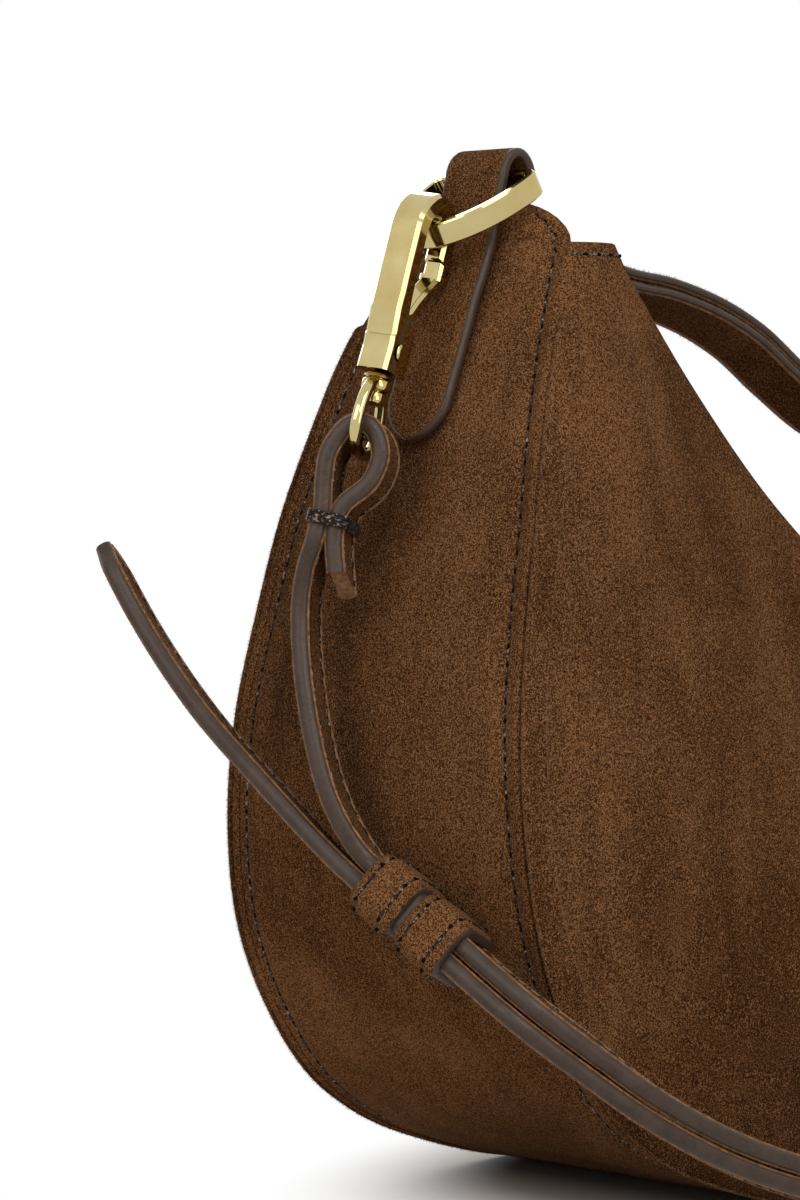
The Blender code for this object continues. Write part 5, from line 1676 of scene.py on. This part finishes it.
def make_keeper():
    """The suede keeper: two lobes with painted ends, each sewn with two rows of stitches."""
    route = strap_route()
    start, across, through = route[KEEPER_START * STRAP_STEPS]
    stop = route[(KEEPER_START + 1) * STRAP_STEPS][0]
    along = (stop - start).normalized()
    middle = start - through * STRAP_SPACING / 2 + along * (GAP + STRAP_THICKNESS / 4)
    bm = bmesh.new()
    shells = [
        [
            [
                bm.verts.new(point)
                for point in keeper_outline(
                    middle + along * KEEPER_LENGTH * share, across, through, KEEPER_WALL * wall * outer,
                )
            ]
            for share, wall in KEEPER_SHARES
        ]
        for outer in (1, 0)
    ]
    count = len(shells[0][0])
    for k in range(count):
        m = (k + 1) % count
        for rings, painted in zip(shells, (KEEPER_PAINTED, ())):
            for n, (first, second) in enumerate(zip(rings, rings[1:])):
                slot = 1 if n in painted else 0
                add_face(bm, (first[k], first[m], second[m], second[k]), slot)
        for end in (0, -1):
            ring, hole = shells[0][end], shells[1][end]
            add_face(bm, (ring[k], ring[m], hole[m], hole[k]), 1)
    for share in KEEPER_ROW_SHARES:
        place = middle + along * KEEPER_LENGTH * share
        line = keeper_outline(place, across, through, KEEPER_WALL * 1.21)
        places = spaced(line + [line[0]], KEEPER_STITCH_PITCH)
        for first, second in zip(places, places[1:]):
            spot = first.lerp(second, 0.5)
            way = (second - first).normalized()
            out = way.cross(along)
            out = out if out.dot(spot - place) > 0 else -out
            stitches(bm, [(spot, way, out.normalized())], 2)
    finishes = [suede_finish("Keeper suede", 0.05), edge_finish(), thread_finish(), hole_shade_finish()]
    new_piece("keeper_skin", bm, finishes, "keeper", ["strap_keeper"])


def make_handle():
    """Two suede straps, one above the other, with painted edges; their suede is darkened throughout as
    painted shade for the shaded underside.
    """
    half = [Vector((-x * LENGTH / 2, 0, HEIGHT - drop * HANDLE_DROP)) for x, drop, roll in HANDLE_SHARES]
    points = smooth_curve(half + to_side(reversed(half[:-1]), 1), STRAP_STEPS)
    rolls = [roll * HANDLE_ROLL for x, drop, roll in HANDLE_SHARES]
    turns = steady_steps(rolls + rolls[-2::-1], STRAP_STEPS)
    widths = [Vector((0, math.cos(turn), -math.sin(turn))) for turn in turns]
    path = frames(points, widths)
    pairs, slots = strap_section(HANDLE_WIDTH, HANDLE_THICKNESS, RIM_RISE / 2)
    # The -0.05 darkens the handle's suede: painted shade for its underside.
    finishes = strap_finishes("Handle suede", -0.05)
    for name, level in (("handle_upper", 0), ("handle_lower", 1)):
        bm = bmesh.new()
        strand = shifted(path, -level * HANDLE_SPACING)
        sweep(bm, strand, pairs, slots)
        strap_fringe(bm, strand, HANDLE_WIDTH, HANDLE_THICKNESS)
        strap_stitches(bm, strand, HANDLE_WIDTH, HANDLE_THICKNESS, faces=(1,))
        new_piece(f"{name}_strap", bm, finishes, "bag", [name])


# Stage

def area_light(name, place, size, power):
    data = bpy.data.lights.new(name, "AREA")
    data.shape = "RECTANGLE"
    data.size, data.size_y = size
    data.energy = power
    lamp = add_object(name, data)
    lamp.location = place
    lamp.rotation_mode = "QUATERNION"
    lamp.rotation_quaternion = (Vector(LAMP_TARGET) - Vector(place)).to_track_quat("-Z", "Y")


def seen_or_mirrored(tree):
    """1 for what the camera sees straight or in metal, and 0 for the light on the object."""
    path = node(tree, "LightPath")
    both = node(tree, "Math", {0: path.outputs["Is Camera Ray"], 1: path.outputs["Is Glossy Ray"]},
                operation="MAXIMUM")
    return node(tree, "Math", {0: both.outputs[0], 1: path.outputs["Is Transmission Ray"]},
                operation="MAXIMUM").outputs[0]


def make_world():
    world = bpy.data.worlds.new("Studio")
    bpy.context.scene.world = world
    world.use_nodes = True
    tree = world.node_tree
    tree.nodes.clear()
    plain = node(tree, "Background", {"Color": (1, 1, 1, 1), "Strength": 0.2})
    white = node(tree, "Background", {"Color": (1, 1, 1, 1), "Strength": 1})
    chosen = node(tree, "MixShader", {0: seen_or_mirrored(tree), 1: plain.outputs[0], 2: white.outputs[0]})
    node(tree, "OutputWorld", {"Surface": chosen.outputs[0]})


def make_floor():
    """A pale floor that fades into the white background away from the bag."""
    bm = bmesh.new()
    bmesh.ops.create_grid(bm, x_segments=8, y_segments=8, size=FLOOR_REACH)
    mesh = bpy.data.meshes.new("Floor")
    bm.to_mesh(mesh)
    bm.free()
    floor = add_object("Floor", mesh)
    floor.location = (0, 0, -0.05 * MM)
    finish = bpy.data.materials.new("Floor paper")
    finish.use_nodes = True
    tree = finish.node_tree
    tree.nodes.clear()
    place = node(tree, "TexCoord").outputs["Object"]
    # The paper's pale colour carries a warm tint as painted bounce light, browning the bag's shadow as
    # light off the suede would.
    paper = node(tree, "BsdfDiffuse", {"Color": (0.8, 0.73, 0.65, 1)})
    white = node(tree, "Emission", {"Color": (1, 1, 1, 1), "Strength": 1})
    spread = node(tree, "Mapping", {"Vector": place, "Scale": (0.55, 1, 1)}).outputs[0]
    distance = node(tree, "VectorMath", {0: spread}, operation="LENGTH").outputs["Value"]
    near, far = FLOOR_FADE
    fade = node(tree, "MapRange", {0: distance, 1: near, 2: far}, interpolation_type="SMOOTHSTEP")
    share = node(tree, "Math", {0: fade.outputs[0], 1: seen_or_mirrored(tree)}, operation="MULTIPLY")
    chosen = node(tree, "MixShader", {0: share.outputs[0], 1: paper.outputs[0], 2: white.outputs[0]})
    node(tree, "OutputMaterial", {"Surface": chosen.outputs[0]})
    mesh.materials.append(finish)


def make_camera():
    data = bpy.data.cameras.new("Photograph")
    camera = add_object("Photograph", data)
    ahead = Vector((
        math.sin(VIEW_TURN) * math.cos(VIEW_PITCH), math.cos(VIEW_TURN) * math.cos(VIEW_PITCH),
        -math.sin(VIEW_PITCH),
    ))
    camera.location = VIEW_TARGET - ahead * VIEW_DISTANCE
    camera.rotation_mode = "QUATERNION"
    camera.rotation_quaternion = ahead.to_track_quat("-Z", "Y")
    data.lens = VIEW_LENS
    data.sensor_width = 36
    data.clip_start = 0.01
    bpy.context.scene.camera = camera


# Operators

class BAG_OT_body(bpy.types.Operator):
    """Sew the two sides, the gusset and their turned edges"""

    bl_idname = "bag.body"
    bl_label = "Body"

    def execute(self, context):
        for name, front in (("front", -1), ("back", 1)):
            make_panel(f"{name}_panel", front)
            make_welt(f"{name}_welt", front)
        make_gusset()
        return {"FINISHED"}


class BAG_OT_lining(bpy.types.Operator):
    """Line the two sides and the gusset"""

    bl_idname = "bag.lining"
    bl_label = "Lining"

    def execute(self, context):
        make_panel_lining("lining_front", -1)
        make_panel_lining("lining_back", 1)
        make_gusset_lining()
        return {"FINISHED"}


class BAG_OT_zip(bpy.types.Operator):
    """Set the zip with its facings, tapes, teeth, slider and end patches"""

    bl_idname = "bag.zip"
    bl_label = "Zip"

    def execute(self, context):
        for name, front in (("front", -1), ("back", 1)):
            make_facing(f"facing_{name}", front)
            make_tape(f"zip_tape_{name}", front)
            make_teeth(f"zip_teeth_{name}", front)
        bevel = context.scene.bag_sizes.metal_bevel
        for name in ("zip_slider", "zip_pull"):
            dress_solid(name, gold_finish(), bevel)
        for name, side in SIDES:
            make_end_patch(f"end_patch_{name}")
        return {"FINISHED"}


class BAG_OT_tabs(bpy.types.Operator):
    """Fold a tab round each ring"""

    bl_idname = "bag.tabs"
    bl_label = "Tabs"

    def execute(self, context):
        for name, side in SIDES:
            make_tab(f"tab_{name}", side)
        return {"FINISHED"}


class BAG_OT_fittings(bpy.types.Operator):
    """Cast the rings, hooks, gates, rivets, studs and shackles"""

    bl_idname = "bag.fittings"
    bl_label = "Metal fittings"

    def execute(self, context):
        for end, side in SIDES:
            for make in (make_ring, make_hook, make_gate, make_rivet, make_stud, make_shackle):
                make(end, side)
        return {"FINISHED"}


class BAG_OT_strap(bpy.types.Operator):
    """Lay the long strap with its binding and its keeper"""

    bl_idname = "bag.strap"
    bl_label = "Long strap"

    def execute(self, context):
        make_strap()
        make_binding()
        make_keeper()
        return {"FINISHED"}


class BAG_OT_handle(bpy.types.Operator):
    """Make the short handle's two straps"""

    bl_idname = "bag.handle"
    bl_label = "Short handle"

    def execute(self, context):
        make_handle()
        return {"FINISHED"}


class BAG_OT_stage(bpy.types.Operator):
    """Set the floor, the lamps, the background and the camera"""

    bl_idname = "bag.stage"
    bl_label = "Stage"

    def execute(self, context):
        context.scene.view_settings.view_transform = "Standard"
        make_world()
        make_floor()
        make_camera()
        for lamp in LAMPS:
            area_light(*lamp)
        return {"FINISHED"}


class BAG_PT_panel(bpy.types.Panel):
    """Lists the pieces of the bag with their sizes and colours"""

    bl_label = "Shoulder bag"
    bl_idname = "BAG_PT_panel"
    bl_space_type = "VIEW_3D"
    bl_region_type = "UI"
    bl_category = "Bag"

    def draw(self, context):
        for settings in (context.scene.bag_sizes, context.scene.bag_colours):
            box = self.layout.box()
            for name in settings.__annotations__:
                box.prop(settings, name)
        for operator in OPERATORS:
            self.layout.operator(operator.bl_idname)


OPERATORS = (
    BAG_OT_stage, BAG_OT_body, BAG_OT_lining, BAG_OT_zip, BAG_OT_tabs, BAG_OT_fittings,
    BAG_OT_strap, BAG_OT_handle,
)
CLASSES = (BagSizes, BagColours, *OPERATORS, BAG_PT_panel)


def register():
    for item in CLASSES:
        bpy.utils.register_class(item)
    bpy.types.Scene.bag_sizes = bpy.props.PointerProperty(type=BagSizes)
    bpy.types.Scene.bag_colours = bpy.props.PointerProperty(type=BagColours)


def unregister():
    del bpy.types.Scene.bag_colours
    del bpy.types.Scene.bag_sizes
    for item in reversed(CLASSES):
        bpy.utils.unregister_class(item)


def main():
    register()
    noise.seed_set(7)
    bpy.ops.bag.stage()
    bpy.ops.bag.body()
    bpy.ops.bag.lining()
    bpy.ops.bag.zip()
    bpy.ops.bag.tabs()
    bpy.ops.bag.fittings()
    bpy.ops.bag.strap()
    bpy.ops.bag.handle()


if __name__ == "__main__":
    main()
